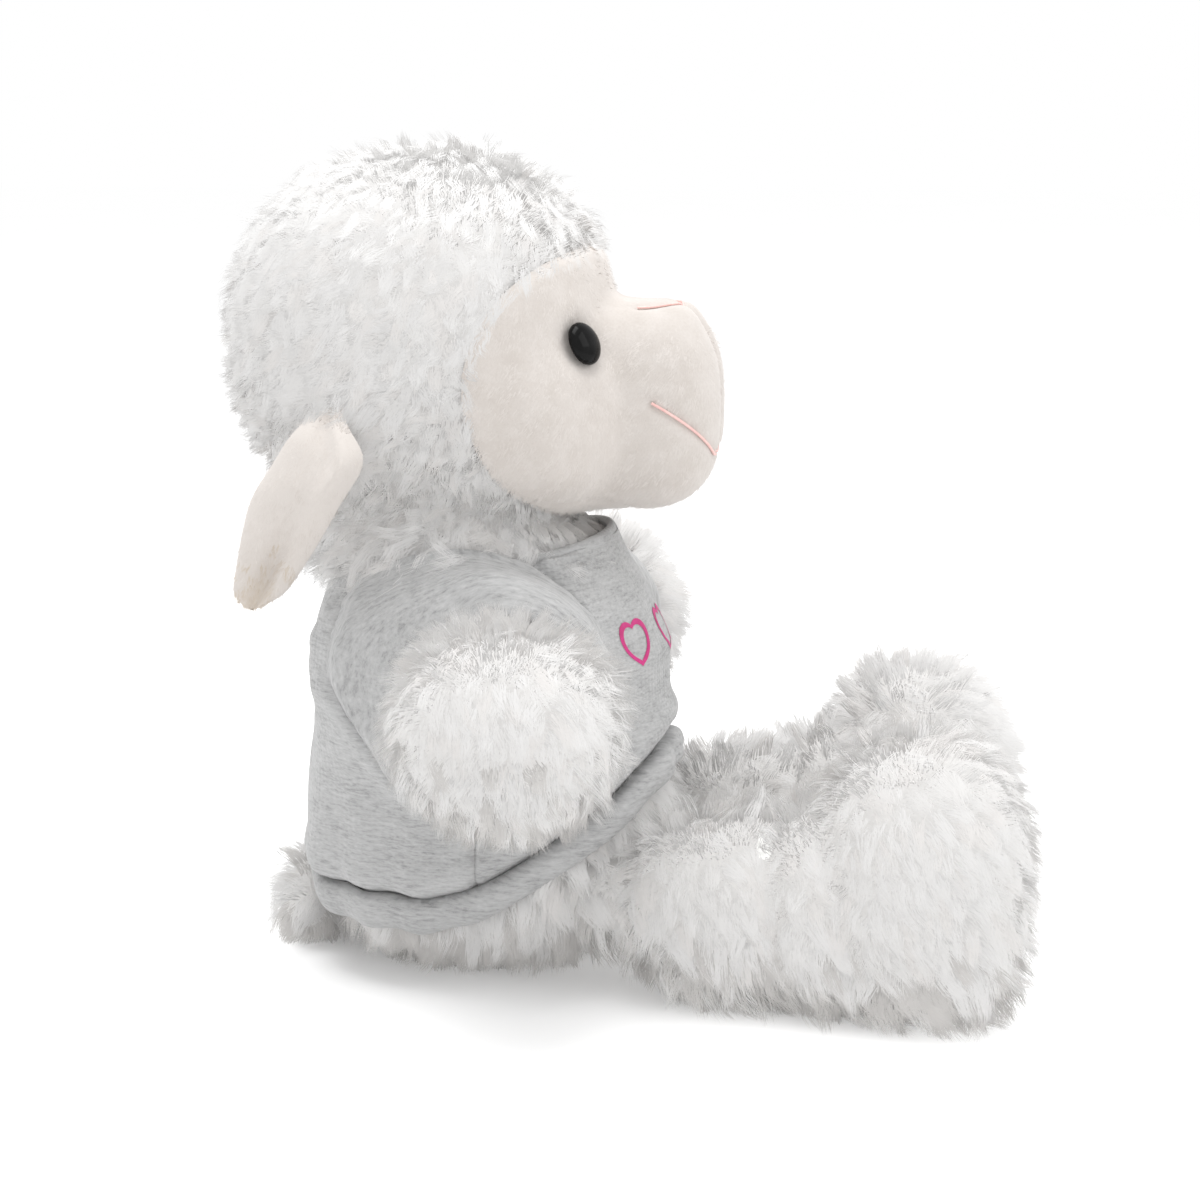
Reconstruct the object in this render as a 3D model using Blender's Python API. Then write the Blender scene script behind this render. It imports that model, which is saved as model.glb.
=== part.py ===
"""A seated plush sheep in a grey T-shirt, modelled as its sewn covers, stuffing, eyes and clothes.

Metres, +Z up. The face looks along -Y, the sheep's right side is -X, and the origin is the middle
of the flat that it sits on. Every stuffed piece is a rounded union of a few lobes, which swell and
taper into one another, and its cover is the layer of fabric and pile around that stuffing.
"""

import math

import bmesh
import bpy
import numpy as np
from mathutils import Matrix, Vector

# Clearances: between sewn layers, round a stuffing, between parts that turn, and at the neck
SEAM_GAP = 0.0003
FILLING_GAP = 0.0006
TURN_GAP = 0.0006
NECK_GAP = 0.0010

# Thickness of fabric with its pile, and how deep the seat and the feet are pressed flat
PILE = 0.0050
SHORT_PILE = 0.0030
TORSO_PILE = 0.0040
SEAT_CUT = 0.0005

# How sharply two lobes meet, and how far and how finely a surface is searched for
LOBE_SHARPNESS = 16
REACH = 0.1600
REACH_STEPS = 96
HALVINGS = 30

# Torso: half sizes, then the lobes as shares of them (middle, then radii, then squareness)
TORSO_HALF_WIDTH = 0.0400
TORSO_HALF_DEPTH = 0.0415
TORSO_HALF_HEIGHT = 0.0490
TORSO_LOBE_SHARES = (
    ((0, 0.02, -0.2449), (0.98, 1.0, 0.7653), 2.4),
    ((0, 0.07, 0.4286), (1.04, 0.86, 0.5510), 3.2),
)

# Neck: the ball that the head turns on, and the bead of stuffing on its stem inside
NECK_HEIGHT = 0.1000
NECK_SET_BACK = 0.0080
NECK_BALL_RADIUS = 0.0286
NECK_BEAD_RADIUS = 0.0110
NECK_STEM_RADIUS = 0.0060
NECK_STEM_DEPTH = 0.0400
HEAD_NOD_BACK = math.radians(12)

# Head: half sizes about its middle, then the lobes as shares of them
HEAD_HEIGHT = 0.1480
HEAD_SET_BACK = 0.0080
HEAD_CORE_HEIGHT = 0.1420
HEAD_CORE_SET_BACK = -0.0060
HEAD_HALF_WIDTH = 0.0460
HEAD_HALF_DEPTH = 0.0560
HEAD_HALF_HEIGHT = 0.0450
HEAD_LOBE_SHARES = (
    ((0, 0.14, 0.05), (1.0, 0.82, 0.955), 2.3),
    ((0, -0.33, -0.36), (0.87, 0.47, 0.60), 2.3),
    ((0, -0.70, -0.33), (0.50, 0.45, 0.585), 2.8),
    ((0, -0.16, 0.20), (0.72, 0.46, 0.42), 2.2),
)
FACE_EDGE_RADIUS = 0.0340
FACE_EDGE_SET_BACK = -0.0345
FACE_EDGE_HEIGHT = 0.1375

# Eyes: a domed button on a ribbed shank, held behind the fabric by a washer
EYE_SIDE = 0.0280
EYE_FORWARD = 0.0270
EYE_HEIGHT = 0.1490
EYE_RADIUS = 0.0050
EYE_DOME = 0.0034
EYE_SEAT_GAP = 0.0009
EYE_SHANK_RADIUS = 0.0013
EYE_SHANK_LENGTH = 0.0090
EYE_RIB_RADIUS = 0.0017
EYE_RIB_SHARES = (0.09, 0.50)
EYE_TIP_RADIUS = 0.0003
EYE_STEPS = 4
WASHER_RADIUS = 0.0046
WASHER_THICKNESS = 0.0012
WASHER_DEPTH = 0.0074

# Ears: two layers of short pile, sewn together round the edge and hinged where they are sewn in
EAR_LENGTH = 0.0470
EAR_WIDTH = 0.0215
EAR_THICKNESS = 0.0036
EAR_SET_BACK = 0.0300
EAR_HEIGHT = 0.1360
EAR_SWEEP_BACK = 0.0165
EAR_SWEEP_POWER = 1.3
EAR_SPLAY = math.radians(7)
EAR_CUP = 0.0035
EAR_STANDOFF = 0.0008
EAR_COLUMNS = 6
EAR_WIDTH_SHARES = (0.44, 0.74, 0.97, 0.98, 0.90, 0.78, 0.66, 0.52, 0.22)
EAR_EDGE_SHARE = 0.35

# Arms: a root ball in the shoulder, then the paw, and between them a neck as shares of both
SHOULDER_SIDE = 0.0430
SHOULDER_SET_BACK = -0.0010
SHOULDER_HEIGHT = 0.0730
SHOULDER_BALL_RADIUS = 0.0165
PAW_OUT = 0.0245
PAW_FORWARD = 0.0125
PAW_DROP = 0.0020
PAW_HALF_LENGTH = 0.0245
PAW_HALF_DEPTH = 0.0268
PAW_HALF_HEIGHT = 0.0240
PAW_SQUARENESS = 2.2
WRIST_SHARES = (0.75, 0.88, 0.84)
SEAM_HOLE_RADIUS = 0.0080

# Legs: a root ball in the hip, the thigh, the ankle, and the upturned foot
HIP_SIDE = 0.0220
HIP_SET_BACK = -0.0120
HIP_HEIGHT = 0.0215
HIP_BALL_RADIUS = 0.0142
THIGH_OUT = 0.0105
THIGH_FORWARD = 0.0490
THIGH_HALF_WIDTH = 0.0210
THIGH_HALF_LENGTH = 0.0290
THIGH_HALF_HEIGHT = 0.0235
THIGH_SQUARENESS = 2.2
FOOT_OUT = 0.0180
FOOT_FORWARD = 0.0900
FOOT_HALF_WIDTH = 0.0250
FOOT_HALF_DEPTH = 0.0265
FOOT_HALF_HEIGHT = 0.0340
FOOT_SQUARENESS = 2.3
ANKLE_BACK = 0.0210
ANKLE_HALF_WIDTH = 0.0225
ANKLE_HALF_LENGTH = 0.0200
ANKLE_HALF_HEIGHT = 0.0255
LEG_ROOT_SHARE = 0.88
LEG_RAISE = math.radians(5)
LEG_DROP = math.radians(50)
LEG_SLOT_REACH = 0.0600
LEG_SLOT_FLARE = 0.0060
LEG_SLOT_INNER = 0.0050

# Tail: a short puff against the back of the seat
TAIL_SET_BACK = 0.0450
TAIL_HEIGHT = 0.0110
TAIL_HALF_WIDTH = 0.0170
TAIL_HALF_DEPTH = 0.0110
TAIL_HALF_HEIGHT = 0.0115
TAIL_SQUARENESS = 2.2
TAIL_PILE = 0.0040

# Pellet bag in the seat
PELLET_SET_BACK = 0.0170
PELLET_HALF_WIDTH = 0.0230
PELLET_HALF_DEPTH = 0.0165
PELLET_HALF_HEIGHT = 0.0110

# T-shirt body: cloth over the torso, its folds, and the hem line that rises over the thighs
CLOTH = 0.0015
CLOTH_EASE = 0.0004
FOLD_DEPTH = 0.0012
FOLD_COUNT = 14
FOLD_DRIFT_SHARE = 2
FOLD_DRIFT_COUNT = 3
FOLD_TOP = 0.0700
FOLD_BOTTOM = 0.0250
HEM_BACK_HEIGHT = 0.0155
HEM_FRONT_RISE = 0.0345
HEM_CURVE_POWER = 1.5
HEM_RISE_START = 0.0105
HEM_RISE_END = -0.0440
HEM_BAND = 0.0070
HEM_THICKNESS = 0.0028
HEM_STEPS = 14
SIDE_SEAM_SET_BACK = -0.0020

# Sleeves: a folded tube from each armhole out over the top of the arm
ARMHOLE_RADIUS = 0.0230
ARMHOLE_SET_BACK = 0.0045
ARMHOLE_HEIGHT = 0.0740
ARMHOLE_RING_SHARES = (-0.5, 0, 1)
SLEEVE_START = 0.0300
SLEEVE_END = 0.0520
SLEEVE_FORWARD = 0.0165
SLEEVE_DROP = 0.0010
SLEEVE_FLARE = 0.0050
SLEEVE_FLATTEN_SHARE = 0.10
SLEEVE_FOLD = 0.0008
SLEEVE_FOLDS = 5
SLEEVE_ROWS = 4
SLEEVE_SIDES = 28

# Neck band: an ellipse that tips up towards the front
COLLAR_HALF_WIDTH = 0.0325
COLLAR_HALF_DEPTH = 0.0340
COLLAR_SET_BACK = 0.0045
COLLAR_DROP = 0.0030
COLLAR_HEIGHT = NECK_HEIGHT - COLLAR_DROP
COLLAR_TILT = math.radians(12)
COLLAR_BAND = 0.0040
COLLAR_THICKNESS = 0.0020
COLLAR_HOLE_DEPTH = 0.0120

# How finely each surface is divided: rings from pole to pole, then segments round
COVER_GRID = (13, 26)
INNER_GRID = (9, 18)
LIMB_GRID = (16, 20)
LIMB_INNER_GRID = (12, 14)
SMALL_GRID = (8, 16)
BALL_GRID = (10, 18)
ROUND_SIDES = 32
SMALL_SIDES = 16
SHARP_ANGLE = math.radians(50)

RIGHT = -1
LEFT = 1
SIDES = (("right", RIGHT), ("left", LEFT))

# Materials: name, colour, roughness
WOOL = ("wool", (0.86, 0.85, 0.84, 1), 0.95)
VELOUR = ("velour", (0.84, 0.78, 0.72, 1), 0.90)
STUFFING = ("stuffing", (0.92, 0.92, 0.90, 1), 1.0)
PELLETS = ("pellet_bag", (0.75, 0.75, 0.72, 1), 0.8)
BLACK = ("eye_black", (0.010, 0.009, 0.009, 1), 0.12)
WASHER = ("washer_white", (0.80, 0.80, 0.78, 1), 0.5)
JERSEY = ("jersey", (0.38, 0.38, 0.38, 1), 0.92)
RIBBING = ("ribbing", (0.36, 0.36, 0.36, 1), 0.92)

X_AXIS = Vector((1, 0, 0))
Y_AXIS = Vector((0, 1, 0))
Z_AXIS = Vector((0, 0, 1))

TORSO = Vector((0, 0, TORSO_HALF_HEIGHT - SEAT_CUT))
NECK = Vector((0, NECK_SET_BACK, NECK_HEIGHT))
HEAD = Vector((0, HEAD_SET_BACK, HEAD_HEIGHT))
HEAD_CORE = Vector((0, HEAD_CORE_SET_BACK, HEAD_CORE_HEIGHT))
FACE_EDGE = Vector((0, FACE_EDGE_SET_BACK, FACE_EDGE_HEIGHT))


def clear_scene():
    for old in list(bpy.data.objects):
        bpy.data.objects.remove(old, do_unlink=True)


# Materials and objects


def material(kind):
    name, colour, roughness = kind
    found = bpy.data.materials.get(name)
    if found:
        return found
    made = bpy.data.materials.new(name)
    made.use_nodes = True
    made.diffuse_color = colour
    shader = made.node_tree.nodes["Principled BSDF"]
    shader.inputs["Base Color"].default_value = colour
    shader.inputs["Roughness"].default_value = roughness
    shader.inputs["Metallic"].default_value = 0
    return made


def new_object(name, points, faces, kind=None, origin=Vector(), parent=None):
    """An object at its origin, from points in the shared frame. With no material it is a cutter."""
    mesh = bpy.data.meshes.new(name)
    mesh.from_pydata([tuple(Vector(point) - origin) for point in points], [], faces)
    shaped = bmesh.new()
    shaped.from_mesh(mesh)
    bmesh.ops.recalc_face_normals(shaped, faces=shaped.faces)
    shaped.to_mesh(mesh)
    shaped.free()
    mesh.shade_smooth()
    mesh.set_sharp_from_angle(angle=SHARP_ANGLE)
    made = bpy.data.objects.new(name, mesh)
    bpy.context.scene.collection.objects.link(made)
    made.location = origin
    if parent:
        made.parent = parent
        made.matrix_parent_inverse = Matrix.Translation(-parent.location)
    if kind:
        mesh.materials.append(material(kind))
    else:
        made.hide_render = True
        made.display_type = "WIRE"
    return made


def pivot(name, place):
    """An empty on a joint's axis, which carries the pieces that turn about it."""
    empty = bpy.data.objects.new(name, None)
    bpy.context.scene.collection.objects.link(empty)
    empty.location = place
    return empty


def combine(target, other, operation):
    step = target.modifiers.new(f"{operation.lower()} {other.name}", "BOOLEAN")
    step.operation = operation
    step.solver = "EXACT"
    step.object = other


def cut(target, *cutters):
    for cutter in cutters:
        combine(target, cutter, "DIFFERENCE")


def keep_inside(target, cutter):
    combine(target, cutter, "INTERSECT")


# Rounded unions of lobes


def lobe(middle, half_sizes, squareness=2):
    return (np.array(middle, float), np.array(half_sizes, float), squareness)


def shared_lobes(table, middle, half_sizes):
    """Lobes from a table of shares of one set of half sizes."""
    return [
        lobe(
            [m + share * half for m, share, half in zip(middle, place_shares, half_sizes)],
            [share * half for share, half in zip(size_shares, half_sizes)],
            squareness,
        )
        for place_shares, size_shares, squareness in table
    ]


def depth_in(points, lobes, grow):
    """Below zero inside the rounded union of the lobes, each grown by the same length."""
    total = 0
    for middle, half_sizes, squareness in lobes:
        scaled = np.abs(points - middle) / (half_sizes + grow)
        length = (scaled**squareness).sum(axis=-1) ** (1 / squareness)
        total = total + np.exp(-LOBE_SHARPNESS * (length - 1))
    return -np.log(total)


def reach_of(directions, middle, lobes, grow):
    """How far the union reaches from the middle along each direction."""
    middle = np.array(middle, float)
    steps = np.linspace(0, REACH, REACH_STEPS)
    along = middle + directions[:, None, :] * steps[None, :, None]
    inside = depth_in(along, lobes, grow) < 0
    outermost = REACH_STEPS - 1 - np.argmax(inside[:, ::-1], axis=1)
    last = np.where(inside.any(axis=1), outermost, 0)
    near = steps[last]
    far = steps[np.minimum(last + 1, REACH_STEPS - 1)]
    for _ in range(HALVINGS):
        half = (near + far) / 2
        within = depth_in(middle + directions * half[:, None], lobes, grow) < 0
        near = np.where(within, half, near)
        far = np.where(within, far, half)
    return near


# Meshes


def grid_faces(rings, segments):
    """Triangles that join a pole, the rings after it, and the other pole."""
    end = 1 + (rings - 1) * segments
    faces = []
    for segment in range(segments):
        after = (segment + 1) % segments
        faces.append((0, 1 + segment, 1 + after))
        for ring in range(rings - 2):
            here = 1 + ring * segments
            below = here + segments
            faces.append((here + segment, below + segment, below + after))
            faces.append((here + segment, below + after, here + after))
        last = end - segments
        faces.append((last + segment, end, last + after))
    return faces


def tube_faces(rings, count, closed=False):
    """Faces between rings of points, with a cap at each end unless the last ring meets the first."""
    faces = []
    for ring in range(rings if closed else rings - 1):
        here = ring * count
        onward = (ring + 1) % rings * count
        for step in range(count):
            after = (step + 1) % count
            faces.append((here + step, here + after, onward + after, onward + step))
    if not closed:
        faces.append(tuple(range(count)))
        faces.append(tuple(range((rings - 1) * count, rings * count)))
    return faces


def sphere_directions(rings, segments, pole):
    """Unit directions of a grid that has its poles on the given axis."""
    turn = np.array(Z_AXIS.rotation_difference(pole).to_matrix())
    directions = [(0, 0, 1)]
    for ring in range(1, rings):
        polar = math.pi * ring / rings
        for segment in range(segments):
            angle = 2 * math.pi * segment / segments
            level = math.sin(polar)
            directions.append((level * math.cos(angle), level * math.sin(angle), math.cos(polar)))
    directions.append((0, 0, -1))
    return np.array(directions, float) @ turn.T


def stuffed(name, middle, lobes, grow, grid, pole=Z_AXIS, folds=None, **placing):
    """One closed surface around the lobes, grown outwards or, below zero, drawn in."""
    directions = sphere_directions(*grid, pole)
    reach = reach_of(directions, middle, lobes, grow)
    points = np.array(middle, float) + directions * reach[:, None]
    if folds:
        points = folds(points)
    return new_object(name, points, grid_faces(*grid), **placing)


def limb(name, start, end, lobes, grow, grid, **placing):
    """One closed surface lofted along a limb, from sections square to the line from start to end."""
    stations, segments = grid
    line = Vector(end) - Vector(start)
    turn = np.array(Z_AXIS.rotation_difference(line).to_matrix())
    axis = np.array(line.normalized())
    behind = reach_of(-axis[None, :], start, lobes, grow)[0]
    ahead = reach_of(axis[None, :], end, lobes, grow)[0]
    tip = np.array(start) - axis * behind
    length = behind + line.length + ahead
    angles = 2 * math.pi * np.arange(segments) / segments
    spokes = np.stack([np.cos(angles), np.sin(angles), np.zeros(segments)], axis=1) @ turn.T
    points = [tip]
    for station in range(1, stations):
        middle = tip + axis * length * (1 - math.cos(math.pi * station / stations)) / 2
        reach = reach_of(spokes, middle, lobes, grow)
        points += list(middle + spokes * reach[:, None])
    points.append(tip + axis * length)
    return new_object(name, points, grid_faces(*grid), **placing)


def ball(name, middle, radius, **placing):
    """A ball whose flat faces all lie outside the radius, so that what turns in it stays clear."""
    rings, segments = BALL_GRID
    outside = radius / (math.cos(math.pi / segments) * math.cos(math.pi / rings / 2))
    directions = sphere_directions(rings, segments, Z_AXIS)
    return new_object(name, np.array(middle) + directions * outside, grid_faces(rings, segments), **placing)


def turned(name, profile, base, axis, sides=SMALL_SIDES, closed=False, **placing):
    """A solid of revolution, or a ring when closed, from (radius, height) points above its base."""
    turn = Z_AXIS.rotation_difference(axis).to_matrix()
    points = []
    for radius, height in profile:
        for side in range(sides):
            angle = 2 * math.pi * (side + 0.5) / sides
            spot = Vector((radius * math.cos(angle), radius * math.sin(angle), height))
            points.append(Vector(base) + turn @ spot)
    return new_object(name, points, tube_faces(len(profile), sides, closed), **placing)


def rod(name, start, end, radius, sides=SMALL_SIDES):
    line = Vector(end) - Vector(start)
    return turned(name, ((radius, 0), (radius, line.length)), start, line, sides)


def slab(name, outline, from_x, to_x):
    """An outline in the YZ plane, extruded along X."""
    points = [(x, y, z) for x in (from_x, to_x) for y, z in outline]
    return new_object(name, points, tube_faces(2, len(outline)))


def floor_cutter():
    """Everything below the plane that the toy sits on."""
    outline = ((-REACH, 0), (REACH, 0), (REACH, -REACH), (-REACH, -REACH))
    return slab("floor_cutter", outline, -REACH, REACH)


# Torso


def torso_lobes():
    half_sizes = (TORSO_HALF_WIDTH, TORSO_HALF_DEPTH, TORSO_HALF_HEIGHT)
    return shared_lobes(TORSO_LOBE_SHARES, TORSO, half_sizes)


def torso_shape(name, grow, grid=COVER_GRID, **placing):
    return stuffed(name, TORSO, torso_lobes(), grow, grid, **placing)


def shoulder(side):
    return Vector((side * SHOULDER_SIDE, SHOULDER_SET_BACK, SHOULDER_HEIGHT))


def hip(side):
    return Vector((side * HIP_SIDE, HIP_SET_BACK, HIP_HEIGHT))


def leg_slot(name, side, gap):
    """The room that the top of a leg sweeps, from its raised to its hanging place."""
    middle = Vector((HIP_SET_BACK, HIP_HEIGHT))
    outline = [tuple(middle)]
    for angle, offset in ((-LEG_DROP, -1), (LEG_RAISE, 1)):
        along = Vector((-math.cos(angle), math.sin(angle)))
        across = Vector((math.sin(angle), math.cos(angle))) * offset
        start = middle + across * (HIP_BALL_RADIUS + gap)
        end = start + along * LEG_SLOT_REACH + across * LEG_SLOT_FLARE
        edge = [tuple(start), tuple(end)]
        outline += edge if offset < 0 else reversed(edge)
    return slab(name, outline, side * (LEG_SLOT_INNER - gap), side * REACH)


def torso_sockets(gap, label):
    """The hollows that the neck, the shoulders and the hips turn in."""
    neck_radius = NECK_BALL_RADIUS + NECK_GAP - TURN_GAP + gap
    found = [ball(f"neck_socket_{label}", NECK, neck_radius)]
    for word, side in SIDES:
        found.append(ball(f"shoulder_socket_{label}_{word}", shoulder(side), SHOULDER_BALL_RADIUS + gap))
        found.append(ball(f"hip_socket_{label}_{word}", hip(side), HIP_BALL_RADIUS + gap))
        found.append(leg_slot(f"leg_slot_{label}_{word}", side, gap))
    return found


def make_torso(floor):
    cover = torso_shape("torso_cover", 0, kind=WOOL, origin=TORSO)
    hollow = torso_shape("torso_hollow", -TORSO_PILE, INNER_GRID)
    cut(cover, hollow, floor, *torso_sockets(TURN_GAP, "cover"))

    inside = -TORSO_PILE - FILLING_GAP
    filling = torso_shape("torso_stuffing", inside, INNER_GRID, kind=STUFFING, origin=TORSO)
    cut(filling, *torso_sockets(TURN_GAP + TORSO_PILE, "stuffing"))
    stem_foot = NECK - Z_AXIS * (NECK_STEM_DEPTH + TURN_GAP)
    stem_bore = rod("stem_bore", NECK, stem_foot, NECK_STEM_RADIUS + TURN_GAP)
    cut(cover, stem_bore)
    cut(filling, stem_bore)
    make_pellet_bag(filling)


def make_pellet_bag(filling):
    """A small bag of weight that lies on the seat's lining, in a pocket of the stuffing."""
    middle = Vector((0, PELLET_SET_BACK, TORSO_PILE + FILLING_GAP + PELLET_HALF_HEIGHT))
    bag_lobes = [lobe(middle, (PELLET_HALF_WIDTH, PELLET_HALF_DEPTH, PELLET_HALF_HEIGHT))]
    bag = stuffed("pellet_bag", middle, bag_lobes, 0, SMALL_GRID, kind=PELLETS, origin=middle)
    keep_inside(bag, torso_shape("pellet_room", -TORSO_PILE - SEAM_GAP, INNER_GRID))
    pocket = stuffed("pellet_pocket", middle, bag_lobes, SEAM_GAP, SMALL_GRID)
    well = rod("pellet_well", middle - Z_AXIS * REACH, middle, PELLET_HALF_DEPTH - SEAM_GAP, ROUND_SIDES)
    cut(filling, pocket, well)


# Neck and head


def head_lobes():
    half_sizes = (HEAD_HALF_WIDTH, HEAD_HALF_DEPTH, HEAD_HALF_HEIGHT)
    return shared_lobes(HEAD_LOBE_SHARES, HEAD, half_sizes) + [lobe(NECK, (NECK_BALL_RADIUS,) * 3)]


def head_shape(name, grow, grid=COVER_GRID, **placing):
    return stuffed(name, HEAD_CORE, head_lobes(), grow, grid, **placing)


def make_neck(carrier):
    """The stuffing that runs through the neck seam: a bead in the head on a stem in the torso."""
    steps = BALL_GRID[0]
    foot_angle = math.asin(NECK_STEM_RADIUS / NECK_BEAD_RADIUS)
    profile = [(NECK_STEM_RADIUS, 0)]
    for step in range(steps):
        angle = foot_angle + (math.pi - foot_angle) * step / steps
        height = NECK_STEM_DEPTH - NECK_BEAD_RADIUS * math.cos(angle)
        profile.append((NECK_BEAD_RADIUS * math.sin(angle), height))
    base = NECK - Z_AXIS * NECK_STEM_DEPTH
    turned("neck_stuffing", profile, base, Z_AXIS, kind=STUFFING, origin=NECK, parent=carrier)


def neck_room():
    """Room in the head for the bead, and below it for the stem as the head nods."""
    throat = NECK_STEM_RADIUS + TURN_GAP
    fall = NECK_BALL_RADIUS + PILE
    mouth = throat + fall * math.sin(HEAD_NOD_BACK)
    bead_room = ball("bead_room", NECK, NECK_BEAD_RADIUS + TURN_GAP)
    profile = ((mouth, 0), (throat, fall))
    stem_room = turned("stem_room", profile, NECK - Z_AXIS * fall, Z_AXIS, ROUND_SIDES)
    return bead_room, stem_room


def make_head(carrier):
    placing = {"origin": NECK, "parent": carrier}
    wool = head_shape("head_wool", 0, kind=WOOL, **placing)
    face = head_shape("face_panel", SHORT_PILE - PILE, kind=VELOUR, **placing)
    filling = head_shape("head_stuffing", -PILE - FILLING_GAP, INNER_GRID, kind=STUFFING, **placing)
    hollow = head_shape("head_hollow", -PILE, INNER_GRID)
    across = X_AXIS * REACH
    wool_edge = FACE_EDGE_RADIUS + SEAM_GAP / 2
    panel_edge = FACE_EDGE_RADIUS - SEAM_GAP / 2
    rooms = neck_room()
    cut(wool, hollow, rod("face_hole", FACE_EDGE - across, FACE_EDGE + across, wool_edge, ROUND_SIDES))
    cut(wool, *rooms, *[ear_groove(word, side) for word, side in SIDES])
    cut(face, hollow)
    keep_inside(face, rod("face_stamp", FACE_EDGE - across, FACE_EDGE + across, panel_edge, ROUND_SIDES))
    cut(filling, *rooms)
    for word, side in SIDES:
        cut(face, eye_room(f"shank_room_{word}", side, EYE_RIB_RADIUS + SEAM_GAP))
        cut(filling, eye_room(f"washer_room_{word}", side, WASHER_RADIUS + SEAM_GAP))
        make_eye(word, side, carrier)


# Eyes


def eye_frame(side):
    """Where an eye sits on the face, and which way it looks."""
    lobes = head_lobes()
    toward = Vector((side * EYE_SIDE, -EYE_FORWARD, EYE_HEIGHT)) - HEAD
    direction = np.array(toward.normalized())[None, :]
    reach = reach_of(direction, HEAD, lobes, SHORT_PILE - PILE)[0]
    place = np.array(HEAD) + direction[0] * reach
    slope = []
    for axis in (X_AXIS, Y_AXIS, Z_AXIS):
        probe = np.array(axis) * EYE_RADIUS
        slope.append(depth_in(place + probe, lobes, 0) - depth_in(place - probe, lobes, 0))
    return Vector(place), Vector(slope).normalized()


def make_eye(word, side, carrier):
    place, look = eye_frame(side)
    seat = place + look * EYE_SEAT_GAP
    shank = EYE_SHANK_RADIUS
    rise = EYE_SHANK_LENGTH
    profile = [(shank / 2, 0)]
    for share in EYE_RIB_SHARES:
        middle = rise * share
        profile += [(shank, middle - shank / 2), (EYE_RIB_RADIUS, middle), (shank, middle + shank / 2)]
    profile.append((shank, rise))
    for step in range(EYE_STEPS):
        angle = math.pi / 2 * step / EYE_STEPS
        profile.append((EYE_RADIUS * math.cos(angle), rise + EYE_DOME * math.sin(angle)))
    profile.append((EYE_TIP_RADIUS, rise + EYE_DOME))
    turned(f"eye_{word}", profile, seat - look * rise, look, kind=BLACK, origin=place, parent=carrier)

    bore = shank + SEAM_GAP
    section = ((bore, 0), (WASHER_RADIUS, 0), (WASHER_RADIUS, WASHER_THICKNESS), (bore, WASHER_THICKNESS))
    back = seat - look * WASHER_DEPTH
    placing = {"kind": WASHER, "origin": place, "parent": carrier}
    turned(f"eye_washer_{word}", section, back, look, closed=True, **placing)


def eye_room(name, side, radius):
    place, look = eye_frame(side)
    deep = EYE_SHANK_LENGTH + SHORT_PILE
    return rod(name, place + look * SHORT_PILE, place - look * deep, radius)


# Ears


def ear_pivot(side):
    """The sewn edge of an ear, which lies in a seam of the head's wool."""
    toward = np.array([[side, 0, 0]], float)
    level = Vector((0, EAR_SET_BACK, EAR_HEIGHT))
    reach = reach_of(toward, level, head_lobes(), 0)[0]
    return level + X_AXIS * side * (reach + EAR_STANDOFF)


def ear_groove(word, side):
    """The seam in the head that the edge of an ear turns in."""
    half = Y_AXIS * (EAR_WIDTH * EAR_WIDTH_SHARES[0] / 2 + TURN_GAP)
    radius = (EAR_THICKNESS / 2 + TURN_GAP) / math.cos(math.pi / SMALL_SIDES)
    middle = ear_pivot(side)
    return rod(f"ear_groove_{word}", middle - half, middle + half, radius)


def ear_layer(name, side, outward, carrier):
    """One layer of an ear: a leaf that starts on its hinge line and hangs back and down."""
    root = ear_pivot(side)
    rows = len(EAR_WIDTH_SHARES) - 1
    drop = math.sqrt(EAR_LENGTH**2 - EAR_SWEEP_BACK**2)
    inner = []
    outer = []
    for row, width_share in enumerate(EAR_WIDTH_SHARES):
        down = row / rows
        end_share = 1 - (2 * down - 1) ** 6 if row else 1
        for column in range(EAR_COLUMNS + 1):
            across = 2 * column / EAR_COLUMNS - 1
            fullness = math.sqrt((1 - across**4) * end_share)
            swell = EAR_EDGE_SHARE + (1 - EAR_EDGE_SHARE) * fullness
            cup = EAR_CUP * math.sin(math.pi * down) * (1 - across**2)
            out = side * (math.tan(EAR_SPLAY) * drop * down + cup)
            back = EAR_SWEEP_BACK * down**EAR_SWEEP_POWER + across * EAR_WIDTH * width_share / 2
            spot = root + Vector((out, back, -drop * down))
            lift = X_AXIS * side * outward
            inner.append(spot + lift * SEAM_GAP / 2)
            outer.append(spot + lift * (SEAM_GAP / 2 + (EAR_THICKNESS / 2 - SEAM_GAP) * swell))
    stride = EAR_COLUMNS + 1
    count = len(inner)
    faces = []
    for row in range(rows):
        for column in range(EAR_COLUMNS):
            here = row * stride + column
            leaf = (here, here + 1, here + 1 + stride, here + stride)
            faces += [leaf, tuple(count + corner for corner in leaf)]
    rim = list(range(EAR_COLUMNS))
    rim += [row * stride + EAR_COLUMNS for row in range(rows)]
    rim += [rows * stride + column for column in range(EAR_COLUMNS, 0, -1)]
    rim += [row * stride for row in range(rows, 0, -1)]
    for here, after in zip(rim, rim[1:] + rim[:1]):
        faces.append((here, after, count + after, count + here))
    new_object(name, inner + outer, faces, kind=VELOUR, origin=root, parent=carrier)


# Limbs and tail


def make_limb(part, word, root, end, lobes, carrier, *cutters):
    """A limb's cover, open at the seam in its root, and the stuffing inside it."""
    placing = {"origin": root, "parent": carrier}
    cover = limb(f"{part}_cover_{word}", root, end, lobes, 0, LIMB_GRID, kind=WOOL, **placing)
    hollow = limb(f"{part}_hollow_{word}", root, end, lobes, -PILE, LIMB_INNER_GRID)
    axis = (end - root).normalized()
    cut(cover, hollow, rod(f"{part}_seam_{word}", root - axis * REACH, root, SEAM_HOLE_RADIUS), *cutters)
    inside = -PILE - FILLING_GAP
    limb(f"{part}_stuffing_{word}", root, end, lobes, inside, LIMB_INNER_GRID, kind=STUFFING, **placing)


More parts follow.
